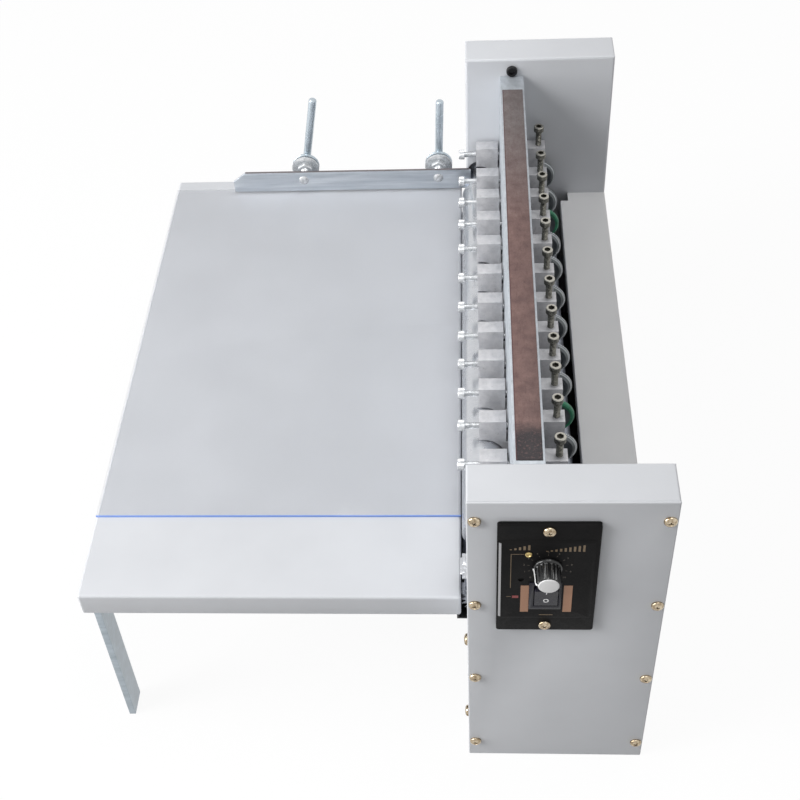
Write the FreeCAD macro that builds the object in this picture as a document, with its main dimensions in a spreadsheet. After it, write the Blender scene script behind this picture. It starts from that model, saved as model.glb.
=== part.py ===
import FreeCAD, Part
import Sketcher
import math
import os
from types import SimpleNamespace

# Rotary perforator for desk use: two sheet-metal housings joined by a cross beam, a feed table on the left,
# driven rollers between the housings and a row of sliding perforating heads that hang on the beam.
# Millimetres, +Z up. The origin is on the floor under the middle of the base, half way between the housings.
# +X is the way the paper travels, -Y is the operator's side with the speed control.

SIZES = [
    ("inner_width", 460.0, "clear width between the two housings"),
    ("housing_width", 127.0, "housing, along the paper's way"),
    ("housing_depth", 32.0, "housing with its cover plate"),
    ("housing_height", 291.0, "housing, floor to top"),
    ("housing_gauge", 1.5, "housing sheet"),
    ("housing_bend", 2.0, "outer radius of the housing's bends"),
    ("flange_width", 12.0, "return flange that the cover plate screws to"),
    ("cover_gauge", 1.5, "cover plate sheet"),
    ("cover_screw_inset", 5.0, "cover screw to the housing's side"),
    ("cover_screw_low", 19.0, "lowest cover screw above the floor"),
    ("cover_screw_high", 17.0, "highest cover screw below the housing's top"),
    ("side_screw_low", 33.0, "lower screw in the housing's left side"),
    ("side_screw_high", 125.0, "upper screw in the housing's left side"),
    ("pan_head_radius", 4.2, "pan head of the M4 screws"),
    ("pan_head_height", 2.6, "pan head of the M4 screws"),
    ("beam_offset", -23.65, "middle of the cross beam, from the housings' middle"),
    ("beam_thickness", 20.1, "cross beam, along the paper's way"),
    ("beam_height", 84.8, "cross beam"),
    ("beam_top", 275.0, "top of the cross beam"),
    ("beam_bolt_radius", 4.0, "M8 bolt in the beam's end"),
    ("beam_bolt_head", 6.5, "head radius of the M8 bolt"),
    ("beam_bolt_head_height", 5.0, "head of the M8 bolt"),
    ("beam_bolt_length", 22.0, "M8 bolt, in the beam"),
    ("beam_bolt_pitch", 46.0, "between the two bolts of one end"),
    ("wall_screw_radius", 4.7, "head of the black screw in a wall, above the beam"),
    ("wall_screw_head", 3.2, "height of that head"),
    ("wall_screw_shank", 2.5, "shank radius of that screw"),
    ("wall_screw_length", 8.0, "shank of that screw, through the wall"),
    ("wall_screw_lift", 0.3, "that head above the beam"),
    ("strip_width", 17.0, "strip on the beam's top"),
    ("strip_near", 16.0, "strip's near end to the wall"),
    ("strip_far", 23.0, "strip's far end to the wall"),
    ("strip_gauge", 0.8, "strip on the beam's top"),
    ("roller_radius", 15.0, "all three rollers"),
    ("roller_gap", 0.3, "paper gap between an upper and a lower roller"),
    ("lower_axis", 145.7, "height of the two lower rollers' axes"),
    ("feed_offset", -52.0, "feed rollers' axes, from the housings' middle"),
    ("anvil_offset", 0.6, "anvil roller's axis, from the housings' middle"),
    ("journal_radius", 5.0, "roller journals"),
    ("journal_stand", 8.0, "journal end beyond the wall's face"),
    ("roller_inset", 5.0, "far end of a lower roller to the wall"),
    ("gear_room", 18.0, "near end of a lower roller to the wall"),
    ("nip_length", 386.0, "polished length of the upper feed roller"),
    ("bearing_radius", 9.5, "bearing barrel"),
    ("bearing_flange", 10.5, "bearing flange radius"),
    ("bearing_flange_gauge", 1.5, "bearing flange"),
    ("bearing_length", 6.5, "whole bearing"),
    ("running_gap", 0.05, "shaft in its bore, on the radius"),
    ("gear_module", 1.5, "all gears"),
    ("gear_backlash", 0.24, "taken off each tooth's thickness"),
    ("gear_spread", 0.3, "added to each centre distance"),
    ("gear_flank", 20.0, "slope of a tooth's flanks, degrees"),
    ("gear_face", 10.0, "gear width"),
    ("gear_inset", 4.0, "gears to the near wall"),
    ("gear_relief", 2.0, "cut-out around a gear, in the table's edge"),
    ("motor_shaft_radius", 5.0, "gear motor's output shaft"),
    ("gearbox_width", 60.0, "gear motor's gearbox"),
    ("gearbox_rise", 18.5, "gearbox top above its shaft"),
    ("gearbox_height", 56.0, "gear motor's gearbox"),
    ("gearbox_length", 34.0, "gear motor's gearbox"),
    ("motor_radius", 26.0, "gear motor's can"),
    ("motor_length", 76.0, "gear motor's can"),
    ("bracket_gauge", 3.0, "motor bracket"),
    ("bracket_foot", 40.0, "motor bracket's foot"),
    ("bracket_gap", 0.6, "gear to the motor bracket"),
    ("pan_gauge", 1.5, "base pan sheet"),
    ("pan_shelf", 129.5, "top of the base pan's shelf"),
    ("pan_upturn", 20.0, "base pan's upturn beside the table"),
    ("table_top", 157.6, "top of the feed table"),
    ("table_length", 266.5, "feed table, along the paper's way"),
    ("table_gap", 4.4, "feed table to the housings' side"),
    ("table_near", 4.0, "table past the near wall's face"),
    ("table_far", 17.0, "table past the far wall's face"),
    ("table_gauge", 1.5, "feed table sheet"),
    ("table_lip", 19.0, "feed table's turned-down edge"),
    ("table_bend", 2.0, "outer radius of the table's bends"),
    ("film_gauge", 1.5, "clear sheet on the table"),
    ("film_near", 71.0, "clear sheet to the table's near edge"),
    ("film_far", 15.0, "clear sheet to the table's far edge"),
    ("leg_gauge", 5.0, "leg bar thickness"),
    ("leg_width", 20.0, "leg bar width"),
    ("leg_inset", 6.9, "leg to the table's left edge"),
    ("leg_edge", 1.5, "leg to the table's near or far edge"),
    ("leg_flange", 26.0, "leg's turned-in top"),
    ("guide_gauge", 2.0, "side guide strip"),
    ("guide_height", 20.8, "side guide strip"),
    ("guide_lift", 1.2, "side guide above the clear sheet"),
    ("guide_wall_gap", 4.0, "side guide's front face to the far wall's face"),
    ("guide_left", 219.0, "side guide's length left of its right end"),
    ("guide_right", 4.0, "side guide's right end past the housings' side"),
    ("guide_chamfer_length", 12.0, "side guide's cut upper corner, along the strip"),
    ("guide_chamfer_height", 9.5, "side guide's cut upper corner, downwards"),
    ("stud_spacing", 124.0, "between the guide's two studs"),
    ("stud_inset", 29.5, "right stud to the guide's right end"),
    ("stud_rise", 11.7, "stud axis above the guide's lower edge"),
    ("stud_radius", 4.0, "guide's studs"),
    ("stud_head_radius", 4.6, "riveted stud ends"),
    ("stud_head_height", 0.6, "riveted stud ends"),
    ("stud_length", 27.0, "stud behind the guide strip"),
    ("stud_nut_radius", 7.5, "nut on a stud, over its corners"),
    ("stud_nut_length", 5.0, "nut on a stud"),
    ("ear_width", 18.0, "ears on the table that carry the studs"),
    ("washer_radius", 12.5, "washers on a stud, on both sides of an ear"),
    ("washer_gauge", 1.6, "one washer"),
    ("hub_radius", 7.0, "clamp lever's hub"),
    ("hub_length", 7.4, "clamp lever's hub"),
    ("hub_bevel", 0.8, "clamp lever's hub, at its end"),
    ("lever_radius", 3.6, "clamp lever's rod"),
    ("left_lever_length", 69.5, "left lever's rod end to the stud axis"),
    ("right_lever_length", 64.0, "right lever's rod end to the stud axis"),
    ("left_lever_tilt", 10.0, "left lever at rest, degrees from upright"),
    ("right_lever_tilt", 2.0, "right lever at rest, degrees from upright"),
    ("outfeed_top", 149.9, "top of the outfeed cover"),
    ("outfeed_left", 22.5, "outfeed cover's left edge, from the housings' middle"),
    ("outfeed_gauge", 1.5, "outfeed cover sheet"),
    ("outfeed_notch_length", 12.0, "notches at the outfeed cover's corners"),
    ("outfeed_notch_width", 7.0, "notches at the outfeed cover's corners"),
    ("outfeed_lip", 14.0, "outfeed cover's turned-down inner edge"),
    ("holder_thickness", 12.0, "perforating head block"),
    ("holder_left", 19.2, "left arm of a block"),
    ("holder_right", 19.8, "right arm of a block"),
    ("arm_height", 18.5, "left arm of a block, above the upper feed roller's relief"),
    ("cheek_drop", 12.0, "block below the wheel's axle"),
    ("web_height", 12.0, "block under the beam"),
    ("slide_gap", 0.25, "block to the beam, where it slides"),
    ("screw_side_gap", 1.6, "block to the beam, on the lock screw's side"),
    ("roller_relief", 1.0, "block above the upper feed roller"),
    ("wheel_slot", 5.0, "slot for a wheel"),
    ("slot_margin", 1.0, "slot around a wheel"),
    ("slot_roof", 3.0, "slot above a wheel"),
    ("wheel_radius", 16.0, "perforating wheel"),
    ("wheel_width", 4.4, "perforating wheel's body"),
    ("wheel_edge_width", 1.4, "perforating wheel's toothed edge"),
    ("wheel_bevel", 2.6, "perforating wheel's bevelled rim"),
    ("tooth_depth", 1.3, "perforating wheel's teeth"),
    ("tread_width", 2.4, "soft wheel's tread"),
    ("tread_bevel", 1.1, "soft wheel's bevelled rim"),
    ("axle_radius", 2.5, "wheel axle"),
    ("cap_radius", 4.25, "M5 cap screw head"),
    ("cap_height", 5.0, "M5 cap screw head"),
    ("cap_shank_radius", 2.5, "M5 cap screw shank"),
    ("lock_screw_drop", 9.5, "lock screw's axis below the block's top"),
    ("lock_screw_stand", 10.4, "lock screw's head to the block"),
    ("lock_screw_tip_gap", 0.2, "lock screw's tip to the beam"),
    ("pressure_screw_stand", 14.0, "pressure screw's head above the block"),
    ("pressure_screw_depth", 12.5, "pressure screw in the block"),
    ("panel_width", 63.0, "speed control's face"),
    ("panel_height", 108.4, "speed control's face"),
    ("panel_gauge", 3.0, "speed control's face"),
    ("panel_offset", -13.2, "speed control's middle, from the housings' middle"),
    ("panel_drop", 16.9, "speed control's upper edge below the housing's top"),
    ("panel_screw_inset", 6.0, "speed control's screws to its edges"),
    ("panel_corner", 2.0, "speed control's corner radius"),
    ("control_width", 50.0, "speed control's case behind the cover"),
    ("control_height", 78.0, "speed control's case behind the cover"),
    ("control_rise", 22.3, "case above the speed control's lower edge"),
    ("control_depth", 21.0, "case behind the cover's face"),
    ("knob_rise", 68.3, "knob axis above the speed control's lower edge"),
    ("knob_skirt_radius", 10.0, "knob's skirt"),
    ("knob_skirt_length", 5.0, "knob's skirt"),
    ("knob_grip_radius", 8.0, "knob's grip"),
    ("knob_cap_radius", 6.0, "knob's light cap"),
    ("knob_cap_length", 1.0, "knob's light cap"),
    ("knob_length", 15.6, "whole knob in front of the panel"),
    ("knob_panel_gap", 0.4, "knob to the panel"),
    ("pot_radius", 3.0, "knob's spindle"),
    ("pot_depth", 12.0, "knob's spindle in the case"),
    ("rocker_width", 15.0, "power rocker, across"),
    ("rocker_height", 20.0, "power rocker, upwards"),
    ("rocker_lift", 28.8, "power rocker's lower edge above the speed control's lower edge"),
    ("rocker_gap", 0.5, "rocker to its frame"),
    ("rocker_room", 1.25, "free depth behind the rocker"),
    ("rocker_rise", 3.0, "rocker's ends in front of the panel"),
    ("rocker_dish", 1.7, "hollow of the rocker's face"),
    ("rocker_depth", 6.0, "rocker behind the panel's face"),
    ("rocker_pin_radius", 1.0, "rocker's pivot pins"),
    ("rocker_pin_length", 1.6, "rocker's pivot pins"),
    ("rocker_swing", 7.0, "rocker's travel each way, degrees"),
    ("head_01_place", 220.5, "middle of perforating head 1 along the beam, from the machine's middle"),
    ("head_02_place", 180.5, "head 2"),
    ("head_03_place", 150.0, "head 3"),
    ("head_04_place", 119.5, "head 4"),
    ("head_05_place", 87.0, "head 5"),
    ("head_06_place", 50.0, "head 6"),
    ("head_07_place", 15.0, "head 7"),
    ("head_08_place", -19.0, "head 8"),
    ("head_09_place", -50.0, "head 9"),
    ("head_10_place", -81.0, "head 10"),
    ("head_11_place", -113.5, "head 11"),
    ("head_12_place", -151.0, "head 12"),
]

HEAD_COUNT = 12
SOFT_WHEELS = (3, 10)
SMALL_GEAR_TEETH = 20
DRIVE_GEAR_TEETH = 40
WHEEL_TEETH = 24
# Screws, washers, bearings and the wheels' bodies are drawn with flat sides, to keep the model light.
SHANK_SIDES = 12
CAP_SIDES = 12
NUT_SIDES = 6
RING_SIDES = 24
TREAD_SIDES = 36

doc = FreeCAD.newDocument("RotaryPerforator")
sheet = doc.addObject("Spreadsheet::Sheet", "Dims")


class Size:
    """A number with the sheet formula that gives it, so one expression serves the solver and the drawing."""

    def __init__(self, value, text):
        self.value = value
        self.text = text

    @staticmethod
    def of(thing):
        return thing if isinstance(thing, Size) else Size(float(thing), repr(float(thing)))

    def joined(self, sign, other, value):
        return Size(value, "(" + self.text + " " + sign + " " + other.text + ")")

    def __add__(self, other):
        other = Size.of(other)
        return self.joined("+", other, self.value + other.value)

    def __sub__(self, other):
        other = Size.of(other)
        return self.joined("-", other, self.value - other.value)

    def __mul__(self, other):
        other = Size.of(other)
        return self.joined("*", other, self.value * other.value)

    def __truediv__(self, other):
        other = Size.of(other)
        return self.joined("/", other, self.value / other.value)

    def __radd__(self, other):
        return Size.of(other) + self

    def __rsub__(self, other):
        return Size.of(other) - self

    def __rmul__(self, other):
        return Size.of(other) * self

    def __neg__(self):
        return Size(-self.value, "(-1 * " + self.text + ")")


def root(size):
    return Size(math.sqrt(size.value), "sqrt(" + size.text + ")")


def sine(degrees):
    return Size(math.sin(math.radians(degrees.value)), "sin(" + degrees.text + " * 1 deg)")


def cosine(degrees):
    return Size(math.cos(math.radians(degrees.value)), "cos(" + degrees.text + " * 1 deg)")


def fill_sheet():
    """Write each driving size in the sheet and return them all as Size values."""
    for row, (name, value, note) in enumerate(SIZES, start=1):
        sheet.set("A%d" % row, name)
        sheet.set("B%d" % row, str(value))
        sheet.set("C%d" % row, note)
        sheet.setAlias("B%d" % row, name)
    doc.recompute()
    return SimpleNamespace(**{name: Size(float(sheet.get(name)), "Dims." + name) for name, _, _ in SIZES})


d = fill_sheet()
Vector = FreeCAD.Vector
PLACE_PROPERTIES = ("Placement.Base.x", "Placement.Base.y", "Placement.Base.z")
TURNS = {
    "X": FreeCAD.Rotation(Vector(0, 1, 0), 90),
    "Y": FreeCAD.Rotation(Vector(1, 0, 0), -90),
    "Z": FreeCAD.Rotation(),
}


def bind(thing, prop, size):
    thing.setExpression(prop, Size.of(size).text)


def block(name, low, sides):
    """A box from its lowest corner."""
    box = doc.addObject("Part::Box", name)
    for prop, size in zip(("Length", "Width", "Height"), sides):
        bind(box, prop, size)
    for prop, size in zip(PLACE_PROPERTIES, low):
        bind(box, prop, size)
    return box


def rod(name, axis, start, radius, length):
    """A cylinder that runs from start along the positive axis."""
    cylinder = doc.addObject("Part::Cylinder", name)
    bind(cylinder, "Radius", radius)
    bind(cylinder, "Height", length)
    cylinder.Placement = FreeCAD.Placement(Vector(), TURNS[axis])
    for prop, size in zip(PLACE_PROPERTIES, start):
        bind(cylinder, prop, size)
    return cylinder


def bar(name, axis, start, sides, radius, length):
    """A regular prism that runs from start along the positive axis; radius is over its corners."""
    prism = doc.addObject("Part::Prism", name)
    prism.Polygon = sides
    bind(prism, "Circumradius", radius)
    bind(prism, "Height", length)
    prism.Placement = FreeCAD.Placement(Vector(), TURNS[axis])
    for prop, size in zip(PLACE_PROPERTIES, start):
        bind(prism, prop, size)
    return prism


def fuse(name, pieces):
    result = doc.addObject("Part::MultiFuse", name)
    result.Shapes = pieces
    return result


def cut(name, base, tool):
    result = doc.addObject("Part::Cut", name)
    result.Base = base
    result.Tool = tool
    return result


def together(name, pieces):
    """Separate solids that share one node."""
    result = doc.addObject("Part::Compound", name)
    result.Links = pieces
    return result


def cap_screw(name, axis, start, head_first, shank_length):
    """An M5 socket cap screw along an axis; start is the end that lies lowest on that axis."""
    along = "XYZ".index(axis)
    second = list(start)
    if head_first:
        second[along] = start[along] + d.cap_height
        lower = bar(name + "Head", axis, start, CAP_SIDES, d.cap_radius, d.cap_height)
        upper = bar(name + "Shank", axis, second, SHANK_SIDES, d.cap_shank_radius, shank_length)
    else:
        second[along] = start[along] + shank_length
        lower = bar(name + "Shank", axis, start, SHANK_SIDES, d.cap_shank_radius, shank_length)
        upper = bar(name + "Head", axis, second, CAP_SIDES, d.cap_radius, d.cap_height)
    return fuse(name, [lower, upper])


# Sketches and features of a body. A sketch on XZ looks along +Y, so its offset counts the other way.
PLANES = {"XY": ("XY_Plane", 1, True), "XZ": ("XZ_Plane", -1, False), "YZ": ("YZ_Plane", 1, True)}


def new_body(name):
    return doc.addObject("PartDesign::Body", name)


def sketch(body, plane, level):
    role, sign, _ = PLANES[plane]
    drawing = body.newObject("Sketcher::SketchObject", body.Name + plane)
    support = next(f for f in body.Origin.OriginFeatures if f.Role == role)
    drawing.AttachmentSupport = [(support, "")]
    drawing.MapMode = "FlatFace"
    bind(drawing, "AttachmentOffset.Base.z", sign * Size.of(level))
    return drawing


def fix(drawing, kind, args, size):
    index = drawing.addConstraint(Sketcher.Constraint(kind, *args, Size.of(size).value))
    bind(drawing, "Constraints[%d]" % index, size)


def outline(drawing, corners):
    """A closed outline of straight lines, each corner held from the origin."""
    corners = [(Size.of(u), Size.of(v)) for u, v in corners]
    first = drawing.GeometryCount
    count = len(corners)
    for i, (u, v) in enumerate(corners):
        end_u, end_v = corners[(i + 1) % count]
        line = Part.LineSegment(Vector(u.value, v.value, 0), Vector(end_u.value, end_v.value, 0))
        drawing.addGeometry(line, False)
    for i, (u, v) in enumerate(corners):
        drawing.addConstraint(Sketcher.Constraint("Coincident", first + i, 2, first + (i + 1) % count, 1))
        fix(drawing, "DistanceX", (-1, 1, first + i, 1), u)
        fix(drawing, "DistanceY", (-1, 1, first + i, 1), v)


def rectangle(drawing, left, low, right, high):
    outline(drawing, [(left, low), (right, low), (right, high), (left, high)])


def circle(drawing, u, v, radius):
    u, v, radius = Size.of(u), Size.of(v), Size.of(radius)
    middle = Vector(u.value, v.value, 0)
    index = drawing.addGeometry(Part.Circle(middle, Vector(0, 0, 1), radius.value), False)
    fix(drawing, "DistanceX", (-1, 1, index, 3), u)
    fix(drawing, "DistanceY", (-1, 1, index, 3), v)
    fix(drawing, "Radius", (index,), radius)


def pad(body, drawing, plane, length):
    """Material from the sketch towards the positive axis."""
    feature = body.newObject("PartDesign::Pad", body.Name + "Pad")
    feature.Profile = drawing
    feature.Reversed = not PLANES[plane][2]
    bind(feature, "Length", length)
    body.Tip = feature
    return feature


def pocket(body, drawing, plane, length):
    """A cut from the sketch towards the positive axis."""
    feature = body.newObject("PartDesign::Pocket", body.Name + "Pocket")
    feature.Profile = drawing
    feature.Reversed = PLANES[plane][2]
    bind(feature, "Length", length)
    body.Tip = feature
    return feature


def round_edges(body, wanted, radius):
    """Round the edges of the body so far whose middle and direction the test accepts."""
    doc.recompute()
    base = body.Tip
    names = []
    for number, edge in enumerate(base.Shape.Edges, start=1):
        ends = [v.Point for v in edge.Vertexes]
        if len(ends) == 2 and wanted((ends[0] + ends[1]) * 0.5, ends[1] - ends[0]):
            names.append("Edge%d" % number)
    feature = body.newObject("PartDesign::Fillet", body.Name + "Fillet")
    feature.Base = (base, names)
    bind(feature, "Radius", radius)
    body.Tip = feature
    return feature


# Places that several pieces share.
half_inner = d.inner_width / 2
half_housing = d.housing_width / 2
outer_face = half_inner + d.housing_depth
upper_axis = d.lower_axis + 2 * d.roller_radius + d.roller_gap
wheel_axis = d.lower_axis + d.roller_radius + d.roller_gap + d.wheel_radius
beam_low = d.beam_top - d.beam_height
beam_left = d.beam_offset - d.beam_thickness / 2
beam_right = d.beam_offset + d.beam_thickness / 2
box_depth = d.housing_depth - d.cover_gauge
gear_radius = d.gear_module * (SMALL_GEAR_TEETH / 2)
drive_radius = d.gear_module * (DRIVE_GEAR_TEETH / 2)
drive_offset = (d.feed_offset + d.anvil_offset) / 2
drive_reach = gear_radius + drive_radius + d.gear_spread
drive_half = (d.anvil_offset - d.feed_offset) / 2
drive_axis = d.lower_axis - root(drive_reach * drive_reach - drive_half * drive_half)
gear_near = -half_inner + d.gear_inset
table_right = -half_housing - d.table_gap
table_left = table_right - d.table_length
table_near = -half_inner - d.table_near
table_far = half_inner + d.table_far
guide_right = -half_housing + d.guide_right
guide_low = d.table_top + d.film_gauge + d.guide_lift
guide_front = half_inner - d.guide_wall_gap
stud_height = guide_low + d.stud_rise
stud_right = guide_right - d.stud_inset
stud_left = stud_right - d.stud_spacing
ear_back = table_far
head_right = beam_right + d.slide_gap + d.holder_right
head_left = beam_left - d.screw_side_gap - d.holder_left
arm_low = upper_axis + d.roller_radius + d.roller_relief
holder_top = arm_low + d.arm_height
holder_bottom = wheel_axis - d.cheek_drop
slot_top = wheel_axis + d.wheel_radius + d.slot_roof
axle_bore = d.axle_radius + d.running_gap
screw_bore = d.cap_shank_radius + d.running_gap
wall_screw_axis = d.beam_top + d.wall_screw_lift + d.wall_screw_radius
panel_low = d.housing_height - d.panel_drop - d.panel_height
control_low = panel_low + d.control_rise
knob_axis = panel_low + d.knob_rise
rocker_low = panel_low + d.rocker_lift
ROLLER_PLACES = [(d.feed_offset, d.lower_axis), (d.feed_offset, upper_axis), (d.anvil_offset, d.lower_axis)]


def cover_screw_places():
    """Plan places of the eight cover screws: sideways and upwards."""
    side = half_housing - d.cover_screw_inset
    pitch = (d.housing_height - d.cover_screw_low - d.cover_screw_high) / 3
    return [(x, d.cover_screw_low + row * pitch) for row in range(4) for x in (-side, side)]


def side_screw_heights():
    return [d.side_screw_low, d.side_screw_high]


def housing_box(label, wall_face, cover_face):
    """A box of bent sheet, open to the cover's side, with return flanges; the faces are Y places."""
    body = new_body(label)
    near = wall_face.value > cover_face.value
    low = cover_face if near else wall_face
    base = sketch(body, "XZ", low)
    rectangle(base, -half_housing, 0, half_housing, d.housing_height)
    pad(body, base, "XZ", box_depth)
    wall_y = wall_face.value
    half = half_housing.value
    round_edges(
        body,
        lambda middle, run: abs(middle.y - wall_y) < 0.01
        and middle.z > 1 and (abs(run.z) > 1 or middle.z > half),
        d.housing_bend,
    )
    inside_low = low + d.housing_gauge
    inner = sketch(body, "XZ", inside_low)
    gauge = d.housing_gauge
    rectangle(inner, -half_housing + gauge, gauge, half_housing - gauge, d.housing_height - gauge)
    pocket(body, inner, "XZ", box_depth - 2 * gauge)
    mouth = sketch(body, "XZ", low if near else low + box_depth - gauge)
    flange = d.flange_width
    rectangle(mouth, -half_housing + flange, flange, half_housing - flange, d.housing_height - flange)
    pocket(body, mouth, "XZ", gauge)
    wall_holes = sketch(body, "XZ", low + box_depth - gauge if near else low)
    for x, z in ROLLER_PLACES:
        circle(wall_holes, x, z, d.bearing_radius + d.running_gap)
    bolt_middle = (beam_low + d.beam_top) / 2
    for rise in (-1, 1):
        circle(wall_holes, d.beam_offset, bolt_middle + rise * d.beam_bolt_pitch / 2,
               d.beam_bolt_radius + d.running_gap)
    circle(wall_holes, d.beam_offset, wall_screw_axis, d.wall_screw_shank + d.running_gap)
    pocket(body, wall_holes, "XZ", gauge)
    return body


def cover_plate(label, low_face, with_control):
    body = new_body(label)
    base = sketch(body, "XZ", low_face)
    rectangle(base, -half_housing, 0, half_housing, d.housing_height)
    pad(body, base, "XZ", d.cover_gauge)
    if with_control:
        window = sketch(body, "XZ", low_face)
        case = d.control_width / 2 + d.slide_gap
        rectangle(window, d.panel_offset - case, control_low - d.slide_gap,
                  d.panel_offset + case, control_low + d.control_height + d.slide_gap)
        pocket(body, window, "XZ", d.cover_gauge)
    return body


def panel_screw_heights():
    return [panel_low + d.panel_screw_inset, panel_low + d.panel_height - d.panel_screw_inset]


def pan_head_screws():
    """The heads of the M4 screws, each seated on the sheet that it holds; their shanks are left out."""
    seats = []
    near_face = -outer_face - d.pan_head_height
    for x, z in cover_screw_places():
        seats.append(("Y", (x, near_face, z)))
        seats.append(("Y", (x, outer_face, z)))
    for z in panel_screw_heights():
        seats.append(("Y", (d.panel_offset, near_face - d.panel_gauge, z)))
    for z in side_screw_heights():
        for y in (-half_inner - box_depth / 2, half_inner + box_depth / 2):
            seats.append(("X", (-half_housing - d.pan_head_height, y, z)))
    heads = []
    for number, (axis, start) in enumerate(seats, start=1):
        heads.append(bar("PanHead%02d" % number, axis, start, CAP_SIDES, d.pan_head_radius, d.pan_head_height))
    return together("pan_head_screws", heads)


def cross_beam():
    """The bar that carries the heads, with its end bolts and a black screw in each wall above it."""
    solid = block("BeamBar", (beam_left, -half_inner, beam_low),
                  (d.beam_thickness, d.inner_width, d.beam_height))
    bolts = []
    bores = []
    bolt_middle = (beam_low + d.beam_top) / 2
    grip = d.housing_gauge
    for rise in (-1, 1):
        height = bolt_middle + rise * d.beam_bolt_pitch / 2
        for side in ("Near", "Far"):
            name = "Beam%s%s" % (side, "Low" if rise < 0 else "High")
            near = side == "Near"
            shank_from = -half_inner - grip if near else half_inner - d.beam_bolt_length
            head_from = -half_inner - grip - d.beam_bolt_head_height if near else half_inner + grip
            bore_from = -half_inner if near else half_inner - d.beam_bolt_length
            shank = bar(name + "Shank", "Y", (d.beam_offset, shank_from, height), SHANK_SIDES,
                        d.beam_bolt_radius, d.beam_bolt_length + grip)
            head = bar(name + "Head", "Y", (d.beam_offset, head_from, height), NUT_SIDES, d.beam_bolt_head,
                       d.beam_bolt_head_height)
            bolts.append(fuse(name + "Bolt", [shank, head]))
            bores.append(rod(name + "Bore", "Y", (d.beam_offset, bore_from, height),
                             d.beam_bolt_radius + d.running_gap, d.beam_bolt_length))
    screws = []
    for side in ("Near", "Far"):
        name = "WallScrew" + side
        near = side == "Near"
        head_from = -half_inner if near else half_inner - d.wall_screw_head
        shank_from = -half_inner - d.wall_screw_length if near else half_inner
        head = bar(name + "Head", "Y", (d.beam_offset, head_from, wall_screw_axis), CAP_SIDES,
                   d.wall_screw_radius, d.wall_screw_head)
        shank = bar(name + "Shank", "Y", (d.beam_offset, shank_from, wall_screw_axis), SHANK_SIDES,
                    d.wall_screw_shank, d.wall_screw_length)
        screws.append(fuse(name, [head, shank]))
    bored = cut("BeamBored", solid, fuse("BeamBores", bores))
    return together("cross_beam", [bored] + bolts + screws)


def beam_strip():
    body = new_body("beam_strip")
    base = sketch(body, "XY", d.beam_top)
    rectangle(base, d.beam_offset - d.strip_width / 2, -half_inner + d.strip_near,
              d.beam_offset + d.strip_width / 2, half_inner - d.strip_far)
    pad(body, base, "XY", d.strip_gauge)
    return body


def feed_table():
    """A tray of bent sheet, upside down, with two ears at its far edge that carry the guide's studs."""
    body = new_body("feed_table")
    low = d.table_top - d.table_lip
    base = sketch(body, "XY", low)
    rectangle(base, table_left, table_near, table_right, table_far)
    pad(body, base, "XY", d.table_lip)
    top = d.table_top.value
    round_edges(body, lambda middle, run: abs(middle.z - top) < 0.01 or abs(run.z) > 1, d.table_bend)
    gauge = d.table_gauge
    hollow = sketch(body, "XY", low)
    rectangle(hollow, table_left + gauge, table_near + gauge, table_right - gauge, table_far - gauge)
    pocket(body, hollow, "XY", d.table_lip - gauge)
    relief = sketch(body, "YZ", table_right - gauge)
    gear_far = gear_near + d.gear_face
    rectangle(relief, gear_near - d.gear_relief, low, gear_far + d.gear_relief, d.table_top - gauge)
    pocket(body, relief, "YZ", gauge)
    ears = sketch(body, "XZ", ear_back - gauge)
    for x in (stud_left, stud_right):
        rectangle(ears, x - d.ear_width / 2, low + d.table_bend, x + d.ear_width / 2, stud_height)
    pad(body, ears, "XZ", gauge)
    tops = sketch(body, "XZ", ear_back - gauge)
    for x in (stud_left, stud_right):
        circle(tops, x, stud_height, d.ear_width / 2)
    pad(body, tops, "XZ", gauge)
    holes = sketch(body, "XZ", ear_back - gauge)
    for x in (stud_left, stud_right):
        circle(holes, x, stud_height, d.stud_radius + d.running_gap)
    pocket(body, holes, "XZ", gauge)
    return body


def table_film():
    body = new_body("table_film")
    base = sketch(body, "XY", d.table_top)
    rectangle(base, table_left, table_near + d.film_near, table_right, table_far - d.film_far)
    pad(body, base, "XY", d.film_gauge)
    return body


def table_leg(name, low_y):
    """A flat bar with its top turned in under the table."""
    body = new_body(name)
    base = sketch(body, "XZ", low_y)
    left = table_left + d.leg_inset
    top = d.table_top - d.table_gauge
    outline(base, [
        (left, 0),
        (left + d.leg_gauge, 0),
        (left + d.leg_gauge, top - d.leg_gauge),
        (left + d.leg_flange, top - d.leg_gauge),
        (left + d.leg_flange, top),
        (left, top),
    ])
    pad(body, base, "XZ", d.leg_width)
    corner_x, corner_z = left.value, top.value
    round_edges(body, lambda middle, run: abs(middle.x - corner_x) + abs(middle.z - corner_z) < 0.01,
                d.leg_gauge)
    return body


def table_legs():
    near_leg = table_leg("LegNear", table_near + d.table_gauge + d.leg_edge)
    far_leg = table_leg("LegFar", table_far - d.table_gauge - d.leg_edge - d.leg_width)
    return together("table_legs", [near_leg, far_leg])


def body_pan():
    """Base sheet with a left wall, a shelf under the feed roller and an upturn beside the table."""
    body = new_body("body_pan")
    base = sketch(body, "XZ", -half_inner)
    gauge = d.pan_gauge
    lip_inside = table_right - d.table_gauge
    left = -half_housing
    upturn = d.pan_shelf + d.pan_upturn
    outline(base, [
        (left, 0),
        (half_housing, 0),
        (half_housing, gauge),
        (left + gauge, gauge),
        (left + gauge, d.pan_shelf),
        (lip_inside, d.pan_shelf),
        (lip_inside, upturn),
        (lip_inside - gauge, upturn),
        (lip_inside - gauge, d.pan_shelf - gauge),
        (left, d.pan_shelf - gauge),
    ])
    pad(body, base, "XZ", d.inner_width)
    return body


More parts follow.
